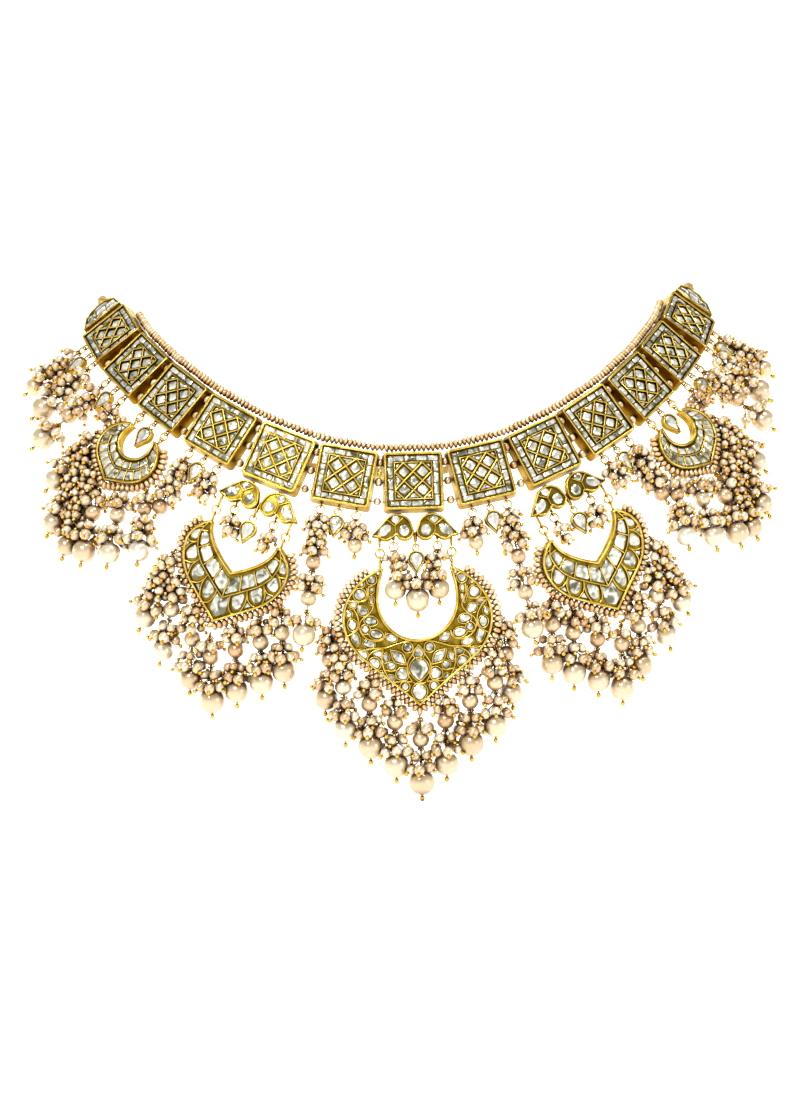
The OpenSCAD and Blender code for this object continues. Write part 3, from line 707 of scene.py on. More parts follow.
crescentFaces = {
    # rows of stones: first and last share along, inner and outer share across, stones in half the row
    "small": [(0.0, 0.97, 0.5, 0.94, 8), (0.0, 0.62, 0.13, 0.44, 3.5)],
    "medium": [(0.0, 0.84, 0.1, 0.47, 4), (0.0, 0.9, 0.53, 0.93, 4.5)],
    "large": [],
    # the ridge between the two rows: its end along, and its share across
    "midRidge": {"medium": (0.97, 0.5), "small": (0.62, 0.47)},
    # the large crescent's vine pattern, one half: x, y, width, height, turn, pointed, ringed
    "largeMiddle": [
        (0, -26.2, 4.7, 5.6, 0, 0.8, 1),
        (0, -32.0, 3.5, 4.0, 0, 0.4, 1),
        (0, -21.7, 2.4, 3.0, 180, 1, 1),
        (3.8, -30.5, 1.9, 1.9, 0, 0, 1),
        (2.85, -20.4, 2.1, 2.1, 0, 0, 1),
        (5.3, -22.9, 2.3, 4.8, -45, -0.9, 1),
        (4.3, -27.3, 2.9, 2.9, -30, 0.6, 1),
        (7.1, -25.1, 1.9, 1.9, 0, 0, 0),
        (8.5, -23.0, 1.5, 2.4, 15, 0.5, 0),
        (11.5, -24.4, 2.6, 2.8, 0, 0, 1),
        (10.4, -21.8, 2.4, 1.6, 10, 0, 0),
        (14.7, -22.0, 2.9, 2.7, 20, 0.7, 0),
        (9.6, -27.2, 1.7, 1.7, 60, 0.5, 0),
        (7.4, -28.3, 1.5, 1.9, 50, 0.5, 0),
        (7.0, -17.9, 2.9, 2.0, 25, 0.5, 0),
        (12.8, -19.2, 3.0, 2.0, 15, 0.3, 0),
        (16.2, -17.7, 1.8, 3.6, -14, 0.3, 0),
        (10.9, -16.8, 3.1, 2.0, 16, 0, 1),
        (13.6, -15.4, 1.8, 1.9, 0, 0, 1),
        (12.2, -13.3, 3.0, 1.9, 12, 0.2, 1),
        (17.0, -14.2, 2.0, 2.5, 0, 0.2, 1),
        (14.2, -10.6, 3.0, 2.2, 42, -0.4, 0),
        (17.8, -11.4, 1.4, 1.7, 0, 0, 0),
        (16.6, -8.9, 2.4, 1.6, -30, 0, 0),
        (14.9, -6.4, 2.7, 2.6, 0, 0, 1),
        (11.8, -5.3, 1.2, 1.7, 10, 0.3, 0),
        (11.9, -8.0, 1.2, 2.0, 10, 0.3, 0),
        (14.3, -3.7, 1.1, 1.3, 0, 0, 0),
        (11.7, -2.6, 2.0, 2.0, 0, 0, 1),
        (9.9, -0.9, 1.2, 1.5, 30, 0.3, 0),
    ],
    # its gold vine lines, one half
    "largeVines": [
        [(18.6, -16.6), (17.4, -19.8), (14.9, -20.8), (11.7, -20.4)]
        + [(8.6, -20.3), (5.6, -19.4), (2.6, -18.7), (0, -18.6)],
        [(8.4, -16.2), (9.3, -18.2), (12.0, -18.4), (14.2, -17.0), (15.2, -14.9)]
        + [(14.6, -12.9), (12.6, -11.4), (11.5, -9.4), (12.6, -6.8), (12.5, -4.2)],
        [(18.7, -7.7), (16.5, -10.1), (15.5, -12.4), (15.6, -15.2), (18.2, -17.0)],
        [(9.2, -20.4), (9.6, -23.2), (8.9, -26.4), (6.9, -29.9)],
        [(9.2, -20.5), (12.0, -21.3), (13.4, -23.2), (12.8, -26.3)],
        [(0, -19.6), (1.6, -22.1), (2.9, -24.4), (3.0, -27.0), (1.6, -29.4), (0, -30.0)],
        [(1.5, -29.3), (4.6, -29.2), (7.4, -29.3)],
        [(6.0, -26.2), (7.4, -26.4), (9.0, -26.0)],
        [(13.0, -4.7), (13.1, -7.6), (15.2, -8.2), (17.9, -7.9)],
    ],
}


def addStoneRow(bm, wires, size, row, floor, top, dice):
    # a row of stones from the middle out to both horns, and the gold ridges between them
    m = crescents[size]
    first, last, inner, over, count = row
    scalloped = size == "medium" and inner > 0.5
    n = int(count)
    whole = count == n
    step = (last - first) / count
    edges = [first + step * (i + (0 if whole else 0.5)) for i in range(n + 1)]
    cut = dict(stoneCut, corner=0.25 if size == "small" else 0.5)

    def spots(*pairs):
        return [between(m, along, share) for along, share in pairs]

    for a, b in zip(edges, edges[1:]):
        low = [inner, inner]
        if size == "small" and inner > 0.4:  # past the inner row's end the outer stones take the whole width
            low = [inner - (inner - 0.12) * min(1, max(0, (along - 0.55) / 0.1)) for along in (a, b)]
        shape = spots((a, low[0]), (b, low[1]), (b, over), (a, over))
        if scalloped:  # they hang from the middle ridge, with a wedge between
            mid, part = (a + b) / 2, (b - a) / 6
            shape = spots((a + part / 2, inner), (b - part / 2, inner), (b - part, 0.74))
            shape += spots((mid + part, 0.92), (mid - part, 0.92), (a + part, 0.74))
            scallop = spots((a, 0.5), (a + part / 3, 0.76), (mid - part, 0.97))
            scallop += spots((mid + part, 0.97), (b - part / 3, 0.76), (b, 0.5))
            wedge = spots((b, 0.8), (b + part, 0.93), (b - part, 0.93))
            for side in (1, -1):
                curve = smoothPath([Vector(p) for p in lifted(scallop, top, side)], 3)
                wires.append((curve, crescents["fineRidge"], False))
                addStone(bm, flat(wedge, side), floor, stoneSlot, dice, dict(stoneCut, corner=0.2))
        for side in (1, -1):
            addStone(bm, shrink(flat(shape, side), 0.24 if size == "small" else 0.4), floor, stoneSlot, dice, cut)
    if not whole:  # one stone lies across the middle
        near, far, low, high = spots((edges[0], inner), (edges[0], over), (0, inner), (0, over))
        shape = flat([near, far, high]) + flat([far, near], -1) + flat([low])
        addStone(bm, shrink(shape, 0.24), floor, stoneSlot, dice)
    for side in () if scalloped else (1, -1):
        ridges = edges
        if whole and first == 0:  # the middle ridge is made once
            ridges = edges[1:] + (edges[:1] if side > 0 else [])
        for along in ridges:
            wires.append((lifted(spots((along, inner), (along, over)), top, side), crescents["ridge"], False))


def addVines(bm, wires, floor, top, dice):
    for x, y, w, h, turn, point, ringed in crescentFaces["largeMiddle"]:
        for side in (1, -1) if x else (1,):
            shape = ovalOutline(x * side, y, w, h, turn * side, 12, point)
            addStone(bm, shape, floor, stoneSlot, dice, dict(stoneCut, corner=0.05))
            grow, thick = (0.75, 0.2) if ringed else (0.5, 0.14)
            ring = ovalOutline(x * side, y, w + grow, h + grow, turn * side, 20, point)
            wires.append((lifted(ring, top - 0.2 + thick), thick, True))
    for vine in crescentFaces["largeVines"]:
        for side in (1, -1):
            wires.append((smoothPath([Vector(p) for p in lifted(vine, top, side)], 5), crescents["ridge"], False))


def makeCrescent(size, node, matrix, seed):
    m = crescents[size]
    dice = random.Random(seed)
    bm = bmesh.new()
    t, drop = crescents["depth"], m["drop"]
    floor, top = t / 2 - crescents["bed"], t / 2 - crescents["wallTop"]
    outer, hole = flat(outerHalf(m, n=22)), flat(holeHalf(m, n=20))
    outline = outer + mirrored(outer[:-1]) + flat(hole, -1) + hole[:-1][::-1]
    addSlab(bm, outline, -t / 2, floor)
    paintGround(bm)
    # side walls stand up round the beds, with a round bright edge
    wires = [([(x * 0.982, y, z) for x, y in outline], crescents["edge"], True) for z in (top, floor - 0.15)]
    for row in crescentFaces[size]:
        addStoneRow(bm, wires, size, row, floor, top, dice)
    if size == "large":
        addVines(bm, wires, floor, top, dice)
    else:
        end, share = crescentFaces["midRidge"][size]
        line = [between(m, end * i / 24, share) for i in range(25)]
        wires += [(lifted(line, top, side), crescents["fineRidge"], False) for side in (1, -1)]
    addWires(bm, wires, edgeSlot)
    bmesh.ops.translate(bm, vec=(0, -drop, 0), verts=bm.verts)
    hangers = []
    for x in (-hornX(m), hornX(m)):
        hangers += [eyeAt(x, 0), ([(x, -eyeR, 0), (x, -drop - 0.9, 0)], postWire, False)]
    addWires(bm, hangers, wireSlot)
    finishPiece(bm, "kundanCrescent." + node, setting, node, matrix)


# ---- rims and strings of seed pearls ----
takenSpots = {}  # by 5 mm cell: centre in mm and radius of every pearl so far, so that bunches settle beside each other
cellSize = 5
seeds = {"thick": 1.45, "across": 2.75, "topThick": 1.2, "topShare": 0.93, "rimGap": 0.32}


def takeSpot(where, radius):
    takenSpots.setdefault(tuple(int(v // cellSize) for v in where), []).append((where, radius))


def crowding(spot, radius):
    worst = 0.0
    for cell in itertools.product(*[[int(v // cellSize) + i for i in (-1, 0, 1)] for v in spot]):
        for where, other in takenSpots.get(cell, ()):
            worst = max(worst, radius + other - (spot - where).length)
    return worst


def evenPoints(path, step):
    # evenly spaced spots on a path, each with its stretch of the path
    count = int(sum((b - a).length for a, b in zip(path, path[1:])) / step)
    ends = [alongPath(path, min(1, i / count)) for i in range(count + 1)]
    return [(alongPath(path, (i + 0.5) / count), ends[i + 1] - ends[i]) for i in range(count)]


def addSeeds(bm, path, thick, wide, dice, place=None):
    for spot, way in evenPoints(path, thick):
        if place is not None:
            takeSpot(place @ spot, wide / 2)
        size = wide * dice.uniform(0.86, 1.04)
        lean = Matrix.Rotation(dice.uniform(-0.2, 0.2), 4, "X") @ Matrix.Rotation(dice.uniform(-0.2, 0.2), 4, "Y")
        stretch = Matrix.Diagonal((size / 2, size / 2, thick * 0.52, 1))
        addBall(bm, Matrix.Translation(spot) @ turnTo(way) @ lean @ stretch, 1.0, 0)
    addWires(bm, [(path, threadWire, False)], 1, 1)


def makeRim(size, node, matrix, seed):
    m = crescents[size]
    bm = bmesh.new()
    half = [Vector((p.x, p.y - m["drop"], 0)) for p in outerHalf(m, seedR + seeds["rimGap"], 20)]
    path = half + [Vector((-p.x, p.y, 0)) for p in half[:-1][::-1]]
    addSeeds(bm, path, seeds["thick"], seeds["across"], random.Random(seed), matrix)
    finishPiece(bm, "seedPearlRim." + node, [seedPearl, wireGold], node, matrix)


def bothSides(points):
    return [Vector((-p.x, p.y, p.z)) for p in points[::-1]] + points


def makeTopString():
    bm = bmesh.new()
    w = collar["width"]
    y = w / 2 + seedR + sealGap
    half = []
    for k in range(7):
        for x in (0.36,) if k == 0 else (-0.36, 0.1) if k == 6 else (-0.36, 0.36):
            half.append(rowFrame(k) @ Vector((x * w, y, midDepth)))
    addSeeds(bm, bothSides(half), seeds["topThick"], seeds["across"] * seeds["topShare"], random.Random(3))
    finishPiece(bm, "topSeedPearlString", [seedPearl, wireGold], "top_seed_string")


def makeSpacers():
    dice = random.Random(4)
    bm = bmesh.new()
    w = collar["width"]
    wires = []
    for y in (0.32 * w, 0.0, -0.32 * w):
        half = []
        for k in range(7):
            half += [rowFrame(k) @ Vector((x * (w / 2 - 0.3), y, midDepth)) for x in ((-1, 1) if k else (1,))]
        half.append(rowFrame(7) @ Vector((-w / 2 + 1, y, midDepth)))
        wires.append((bothSides(half), 0.22, False))
        for k in range(7):
            a = rowFrame(k) @ Vector((w / 2 - 0.1, y, midDepth))
            b = rowFrame(k + 1) @ Vector((-w / 2 + 0.1, y, midDepth))
            place = Matrix.Translation((a + b) / 2) @ turnTo(b - a) @ Matrix.Diagonal((1.2, 1.2, 1.0, 1))
            for ball in (place, mirrorX @ place @ mirrorX):
                addBall(bm, ball, dice.uniform(0.95, 1.05), 0, 8)
    addWires(bm, wires, 1, 1)
    finishPiece(bm, "spacerPearls", [smallPearl, wireGold], "plaque_threads")


# ---- paisley pairs, pear drops; places as shares of the width ----
paisley = {
    "wide": 10.9,
    "depth": 2.6,
    "bed": 0.5,
    "edge": 0.28,
    "mouth": 0.52,  # where the eyes for the bunches hang
    # each arc of the outline: centre, radius, first and last angle, parts
    "arcs": [(0.4, -0.38, 0.345, 150, 35, 12), (0.69, -0.45, 0.18, -35, -130, 6), (0.23, -0.43, 0.2, -50, -180, 8)],
    "point": (1.01, -0.53),
    "notch": (0.42, -0.5),
    # each stone: place, width, height, turn, pointed
    "stones": [(0.72, -0.42, 2.6, 4.2, 52, 0.5), (0.24, -0.42, 2.6, 3.0, 0, 0.0), (0.44, -0.16, 2.2, 2.1, 0, 0.7)],
    "lines": [[(0.46, -0.3), (0.27, -0.13)], [(0.46, -0.3), (0.64, -0.16)], [(0.46, -0.3), (0.45, -0.5)]],
}


def arcPoints(cx, cy, r, a0, a1, n):
    angles = [a0 + (a1 - a0) * i / n for i in range(n + 1)]
    return [(cx + r * cosD(a), cy + r * sinD(a)) for a in angles]


def paisleyOutline():
    back, belly, head = [arcPoints(*arc) for arc in paisley["arcs"]]
    return back + [paisley["point"]] + belly + [paisley["notch"]] + head


def makePaisleyPair(k, node, horn, matrix, seed):
    dice = random.Random(seed)
    bm = bmesh.new()
    w, t = paisley["wide"], paisley["depth"]
    top = hingeY(0.5 + sealGap) + 0.035 * w
    floor = t / 2 - paisley["bed"]
    wires, metal = [], []
    for side in (1, -1):
        outline = [(side * (x * w + 0.02 * w), y * w + top) for x, y in paisleyOutline()]
        addSlab(bm, outline, -t / 2, floor)
        wires += [(lifted(outline, z), paisley["edge"], True) for z in (t / 2 - 0.24, floor, -t / 2 + 0.3)]
        for x, y, wide, high, turn, point in paisley["stones"]:
            shape = ovalOutline(side * (x + 0.02) * w, y * w + top, wide, high, turn * side, 12, point)
            addStone(bm, shape, floor, stoneSlot, dice, dict(stoneCut, corner=0.05))
        for line in paisley["lines"]:
            wires.append(([(side * (x + 0.02) * w, y * w + top, t / 2 - 0.26) for x, y in line], 0.2, False))
        metal.append(([(side * 0.37 * w, hingeY(sealGap), 0), (side * 0.37 * w, top - 0.2 * w, 0)], 0.6, False))
        hornEye = (horn, top - 0.53 * w, hingeY(hingeDrop) + 2 * ringR)
        for x, start, end in (hornEye, (paisley["mouth"] * w, top - 0.56 * w, mouthY)):
            metal.append(([(side * x, start, 0), (side * x, end + eyeR, 0)], postWire, False))
            metal.append(eyeAt(side * x, end))
    metal += [([(0, top - 0.46 * w, 0), (0, pearY + eyeR, 0)], 0.5, False), eyeAt(0, pearY)]
    paintGround(bm)
    addWires(bm, wires, edgeSlot)
    addWires(bm, metal, wireSlot, 3)
    bmesh.ops.translate(bm, vec=(0, 0, midDepth), verts=bm.verts)
    finishPiece(bm, "paisleyPair." + node, setting, node, matrix @ rowFrame(k))


pearDrop = {"wide": 4.4, "tall": 6.3, "depth": 2.0, "bail": 0.9, "bed": 0.45, "edge": 0.24, "rim": 0.6}


def pearOutline(r, h, n=14):
    a = math.degrees(math.acos(r / (h - r)))
    return arcPoints(0, 0, r, a - 90, 270 - a, n) + [(0, r - h)]


def makeDrop(number):
    bm = bmesh.new()
    k = abs(number - 7)
    t, r, bail = pearDrop["depth"], pearDrop["wide"] / 2, pearDrop["bail"]
    floor = t / 2 - pearDrop["bed"]
    outline = pearOutline(r, pearDrop["tall"])
    addSlab(bm, outline, -t / 2, floor)
    inner = pearOutline(r - pearDrop["rim"], pearDrop["tall"] - 1.5, 12)
    addStone(bm, inner, floor, stoneSlot, random.Random(90 + number), dict(stoneCut, height=0.2, crown=0.34))
    levels = (t / 2 - 0.24, t / 2 - 0.5, -t / 2 + 0.25)
    addWires(bm, [([(x * 0.94, y * 0.94, z) for x, y in outline], pearDrop["edge"], True) for z in levels], edgeSlot)
    bmesh.ops.translate(bm, vec=(0, -2 * bail - r, 0), verts=bm.verts)
    addWires(bm, [(ringPoints((0, -bail, 0), bail, (0, 0, 1)), eyeWire, True)], wireSlot)
    matrix = hung(k, 0, pearY if number in (5, 7, 9) else eyeY)
    matrix = matrix if number >= 7 else mirrorX @ matrix
    finishPiece(bm, "pearDrop%d" % number, setting, "stone_drop_%d" % number, matrix)


# ---- pearl strands ----
strands = {
    "length": 18.0,
    "pearl": 6.0,
    "small": 4.0,
    "wire": 0.2,
    "ball": 0.62,
    "swell": 1.15,  # a drilled pearl is up to so much larger where it has room
    "bunchPearl": 3.05,
    "rowEvery": 2.1,
    "tries": 16,
    "easyFit": 0.2,  # pressed into its neighbours by no more than this, a pearl stays at once
    "worstFit": 0.85,  # and by more than this, it is left out
    "pinBall": 0.57,
    "pinWire": 0.12,
    "pinRise": 1.9,
    "coilR": 0.36,
    "coilWire": 0.13,
}
# place on the rim (inner side positive), aside, drop of the small pearl, drop of the large one, its share, behind
largeFringe = [
    (0, 0, 0.31, 0.93, 1, 0),
    (0.17, 0, 0.36, 0.98, 0.98, 0),
    (0.34, 0, 0.4, 1.01, 0.98, 0),
    (0.53, -0.01, 0.52, 1.14, 0.95, 0),
    (0.69, 0.1, 0.56, 1.13, 0.92, 0.5),
]
mediumFringe = [
    (0.58, 0.02, 0.38, 0.94, 0.93, 0),
    (0.4, 0, 0.36, 0.94, 0.97, 0),
    (0.2, 0, 0.36, 0.96, 0.92, 0),
    (0, 0, 0.34, 0.98, 1, 0),
    (-0.24, -0.08, 0.5, 1.08, 0.88, 0),
    (-0.48, -0.26, 0.5, 1.12, 0.9, 0),
    (-0.68, -0.5, 0, 1.1, 0.88, 0),
]
smallFringe = [
    (0.56, 0.06, 0.32, 0.98, 0.85, 0),
    (0.28, -0.02, 0.36, 0.96, 0.9, 0),
    (0, -0.05, 0.36, 0.96, 0.95, 0),
    (-0.26, -0.16, 0, 1.24, 0.95, 0),
    (-0.5, -0.33, 0, 1.26, 0.9, 0),
    (-0.7, -0.75, 0, 0.98, 0.9, 0),
]
# plaque from the middle, eye, share fanned out, pairs of drop and pearl share
plaqueStrands = [
    (1, -1, 0.3, [(0.5, 0.64)]),
    (1, 1, 0.7, [(0.84, 0.64), (1.37, 0.64), (1.9, 0.9)]),
    (3, -1, 1, [(0.5, 0)]),
    (3, 1, 0.85, [(0.95, 0.66)]),
    (5, -1, 0.9, [(0.42, 0)]),
    (5, 1, 1.1, [(0.42, 0), (0.8, 0.66), (1.32, 0.97)]),
    (6, -1, 0.85, [(0.42, 0), (1.05, 1)]),
    (6, 1, 1, [(0.42, 0), (1.0, 0.8)]),
]


class Strands:
    def __init__(self, seed, side):
        self.dice = random.Random(seed)
        self.side = side
        self.wires = []
        self.metal = bmesh.new()
        self.pearls = bmesh.new()
        self.bunches = []
        self.taken, self.back = [], None  # its pearls, and the turn to where its pendant hangs furthest back

    def add(self, matrix, tiers, ringed=False):
        dice, s = self.dice, strands
        radii = []
        for drop, size in tiers:
            full = s["swell"] * size / 2
            room = full - crowding(self.side @ matrix @ Vector((0, -drop, 0)), full)
            radii.append(max(size / 2, room) if size > 0 else 0)
        first = 2 * ringR if ringed else 0.0
        tail = tiers[-1][0] + radii[-1] + sealGap + s["ball"]
        self.wires.append(([matrix @ Vector((0, -first, 0)), matrix @ Vector((0, -tail, 0))], s["wire"], False))
        stretch = Matrix.Diagonal((1, 1.25, 1, 1))
        addBall(self.metal, matrix @ Matrix.Translation((0, -tail, 0)) @ stretch, s["ball"], 0, 8)
        # on a jump ring under a plaque, or on the strand's own small loop under a crescent
        hook = (ringPoints((0, -ringR, 0), ringR, (0, 0, 1), 20), 0.22)
        if not ringed:
            hook = (ringPoints((0, -0.35, 0), 0.75, (1, 0.3, 0), 12), 0.15)
        self.wires.append(([matrix @ p for p in hook[0]], hook[1], True))
        above = -first
        for (drop, size), r in zip(tiers, radii):
            centre = Vector((0, -drop, 0))
            if size > 0:
                squash = Matrix.Diagonal((dice.uniform(0.97, 1.0), dice.uniform(0.94, 1.0), dice.uniform(0.97, 1.0), 1))
                turn = Matrix.Rotation(dice.uniform(-0.5, 0.5), 4, "Z")
                addBall(self.pearls, matrix @ Matrix.Translation(centre) @ turn @ squash, r, 0 if size > 5 else 1, 18)
                takeSpot(self.side @ matrix @ centre, r)
            self.bunches.append((matrix, centre, r, above))
            above = -drop - r

    def planBunch(self, room, big):
        # a ring of pearls round the shoulder of the pearl below, then rows of five up the strand
        ring = 3 if room < 2.4 else (4 if 0 < big < 2.6 else 6)
        plan = [("ring", 360 * i / ring) for i in range(ring)]
        for row in range(int((room - 1.0) / strands["rowEvery"])):
            plan += [(row, 72 * i + 40 + 40 * row) for i in range(5)]
        return plan

    def placeInLayer(self, layer, big, r, a):
        dice, s = self.dice, strands
        if layer == "ring":
            steep = dice.uniform(34, 50) if big else dice.uniform(75, 100)
            reach = max(big + r + 0.1, 1.75)
            wide, lift = reach * sinD(steep), reach * cosD(steep)
        else:
            wide = dice.uniform(1.5, 2.5)
            lift = big + (3.2 if big > 2.6 else 2.9) + s["rowEvery"] * layer + dice.uniform(-0.3, 0.3)
        return Vector((wide * cosD(a), lift, wide * sinD(a)))

    def pin(self, spot, r, a, above):
        # the foot of a pearl's pin at the strand, and its tip past the pearl
        root = Vector((0.25 * cosD(a), min(above - 0.2, spot.y + strands["pinRise"]), 0.25 * sinD(a)))
        return root, spot + (spot - root).normalized() * (r + strands["pinBall"] * 0.9)

    def bunch(self, matrix, centre, big, above):
        # small pearls on headpins, gathered in a wire knot and draped over the shoulder of the pearl below
        dice, s = self.dice, strands
        world = self.side @ matrix
        room = above - centre.y - big
        plan = self.planBunch(room, big)
        start = dice.uniform(0, 360)
        for layer, around in plan:
            r = s["bunchPearl"] / 2 * (dice.uniform(0.9, 1.06) if layer == "ring" else dice.uniform(0.8, 0.95))
            best = None
            for attempt in range(s["tries"]):
                a = start + around + dice.uniform(-14, 14) * (1 + attempt / 4)
                spot = centre + self.placeInLayer(layer, big, r, a)
                if spot.y + r > above - 0.1:
                    continue
                tip = self.pin(spot, r, a, above)[1]
                press = max(crowding(world @ spot, r), crowding(world @ tip, s["pinBall"]) - 0.3)
                if best is None or press < best[0]:
                    best = (press, spot, a)
                if press < s["easyFit"]:
                    break
            if best is None or best[0] > s["worstFit"]:
                continue
            press, spot, a = best
            r -= max(0, press - 0.15) * 0.4
            takeSpot(world @ spot, r)
            lump = Matrix.Rotation(dice.uniform(0, 3), 4, "Z") @ Matrix.Diagonal((1, dice.uniform(0.86, 1.0), 1, 1))
            addBall(self.pearls, matrix @ Matrix.Translation(spot) @ lump, r, 1, 7)
            root, tip = self.pin(spot, r, a, above)
            self.taken += [(world @ spot, r), (world @ tip, 1.4)]
            addBall(self.metal, matrix @ Matrix.Translation(tip), s["pinBall"] * dice.uniform(0.88, 1.05), 0, 6)
            bend = root + Vector((0.55 * cosD(a), 0.25, 0.55 * sinD(a)))
            self.wires.append(([matrix @ p for p in (root, bend, spot, tip)], s["pinWire"], False))
            knot = (0.3 * cosD(a), min(above - 0.2, root.y + dice.uniform(0, 0.8)), 0.3 * sinD(a))
            loop = ringPoints(knot, 0.52, (cosD(a + 90), dice.uniform(-0.5, 0.5), sinD(a + 90)), 10)
            self.wires.append(([matrix @ p for p in loop], s["pinWire"], True))
        # the strand's own wire, wound round itself above the knot
        foot, tall, coilR = centre.y + big + 0.3, min(3.2, max(0.8, room - 1.0)), s["coilR"]
        coil = [Vector((coilR * cosD(a * 45), foot + tall * a / 40, coilR * sinD(a * 45))) for a in range(41)]
        self.wires.append(([matrix @ p for p in coil], s["coilWire"], False))

    def finish(self, wiresNode, pearlsNode):
        for matrix, centre, big, above in self.bunches:
            self.bunch(matrix, centre, big, above)
        for where, radius in self.taken if self.back else []:
            takeSpot(self.back @ where, radius)
        addWires(self.metal, self.wires, 0, 1)
        finishPiece(self.metal, "headpins." + wiresNode, [wireGold], wiresNode, self.side)
        finishPiece(self.pearls, "pearls." + pearlsNode, [largePearl, smallPearl], pearlsNode, self.side)


def turned(angle):
    return Matrix.Rotation(math.radians(angle), 4, "Z")


def swung(f, side, angle):
    # the turn of a pendant about its hinge, in mm, as in the record's joints
    return side @ f @ Matrix.Rotation(math.radians(-angle), 4, "X") @ f.inverted() @ side.inverted()


def fringeInto(group, size, rows, f, both):
    m = crescents[size]
    path = outerHalf(m, seedR + 0.2 + seedR + sealGap + 0.225)[::-1]
    length, pearl = strands["length"], strands["pearl"]
    for place, aside, upper, lower, share, behind in rows:
        for side in (-1, 1) if both and place > 0 else (-1 if place > 0 else 1,):
            p = alongPath(path, abs(place))
            angle = plumbTurn(f) + math.degrees(math.atan(aside)) * (side if both else -1)
            tiers = [(upper * length, strands["small"])] if upper > 0 else []
            tiers.append((lower * length, share * pearl))
            group.add(f @ Matrix.Translation((side * p.x, p.y - m["drop"], -behind * pearl)) @ turned(angle), tiers)


def scaledTiers(tiers):
    return [(drop * strands["length"], share * strands["pearl"]) for drop, share in tiers]


def mouthInto(group, k, tiers):
    for side in (-1, 1):
        spot = hung(k, side * paisley["mouth"] * paisley["wide"], mouthY)
        group.add(spot @ turned(plumbTurn(rowFrame(k)) / 3), scaledTiers(tiers), True)


# how far a pendant's inner edge keeps off the pearls and pins beside it, and where along its swing
swing = {"back": -5, "stops": (-5, 0, 8, 16, 24, 32, 40), "clear": 2.2, "across": (-1.2, 0, 1.2)}


def clearSwing(size, f, sides):
    m = crescents[size]
    hole = holeHalf(m, n=22)
    edge = [Vector((x * p.x, p.y - m["drop"], z)) for p in hole for x in (-1, 1) for z in swing["across"]]
    for side in sides:
        for angle in swing["stops"]:
            for p in edge:
                takeSpot(swung(f, side, angle) @ side @ f @ p, swing["clear"])


def makeStrands():
    groups = []
    large = Strands(11, identity)
    fringeInto(large, "large", largeFringe, hingeFrame(0), True)
    groups.append((large, "wires_large", "pearls_large"))
    large.back = swung(hingeFrame(0), identity, swing["back"])
    # the crescents' inner edges as they swing, so that the bunches in their mouths stay clear of them
    clearSwing("large", hingeFrame(0), (identity,))
    clearSwing("medium", hingeFrame(2), (identity, mirrorX))
    for side, matrix, seed in (("left", mirrorX, 12), ("right", identity, 13)):
        medium = Strands(seed, matrix)
        fringeInto(medium, "medium", mediumFringe, hingeFrame(2), False)
        medium.back = swung(hingeFrame(2), matrix, swing["back"])
        groups.append((medium, "wires_medium_" + side, "pearls_medium_" + side))
        ends = Strands(seed + 10, matrix)
        for k, eye, fan, tiers in plaqueStrands:
            spot = hung(k, eye * lugX, eyeY)
            ends.add(spot @ turned(plumbTurn(rowFrame(k)) * (1 - fan)), scaledTiers(tiers), True)
        mouthInto(ends, 2, [(0.4, 0)])
        fringeInto(ends, "small", smallFringe, lyingFrame(4), False)
        groups.append((ends, "wires_" + side, "pearls_" + side))
    mouth = Strands(31, identity)
    mouthInto(mouth, 0, [(0.69, 0.98)])
    point = pearY - 2 * pearDrop["bail"] - pearDrop["tall"] - sealGap
    mouth.add(hung(0, 0, point), scaledTiers([(0.36 - sealGap / strands["length"], 1.0)]))
    groups.append((mouth, "wires_mouth", "pearls_mouth"))
    for group, wiresNode, pearlsNode in groups:
        group.finish(wiresNode, pearlsNode)


# ---- end pieces, rings, cords, clasp ----
endPiece = {
    "length": 8.5,
    "depth": 3.4,
    "socket": 1.2,
    "bed": -0.5,
    # each stone: its two x, then y at the first, second, second and first of them
    "stones": [
        (-7.6, -5.9, -5.9, -5.5, -2.1, -2.1),
        (-7.6, -5.9, -1.7, -1.7, 1.7, 1.7),
        (-7.6, -5.9, 2.1, 2.1, 5.5, 5.9),
        (-5.4, -2.8, -4.9, -4.6, -1.9, -2.0),
        (-5.4, -2.8, -1.5, -1.4, 1.4, 1.5),
        (-5.4, -2.8, 2.0, 1.9, 4.6, 4.9),
        (-2.3, -0.4, -2.6, -1.6, 1.6, 2.6),
    ],
}


def makeEndPiece(node, matrix, seed):
    dice = random.Random(seed)
    bm = bmesh.new()
    w, long = collar["width"], endPiece["length"]
    side, tip = 0.4 * w, long - w / 2
    lower = [(-w / 2, -side), (tip - long / 3, -side * 0.8), (tip, -side * 0.35)]
    outline = lower + [(x, -y) for x, y in lower[::-1]]
    addSlab(bm, outline, -endPiece["depth"], endPiece["bed"])
    paintGround(bm)
    for x0, x1, a, b, c, d in endPiece["stones"]:
        shape = [(x0, a), (x1, b), (x1, c), (x0, d)]
        addStone(bm, shape, endPiece["bed"], stoneSlot, dice, dict(stoneCut, height=0.2, crown=0.16))
    addWires(bm, [([(x * 0.97, y * 0.97, z) for x, y in outline], 0.28, True) for z in (-0.3, -0.55)], edgeSlot)
    addWires(bm, [([(tip - 0.2, 0, -1.7), (tip + endPiece["socket"], 0, -1.7)], 1.55, False)], edgeSlot, 5)
    finishPiece(bm, "endPiece." + node, setting, node, matrix @ rowFrame(7))


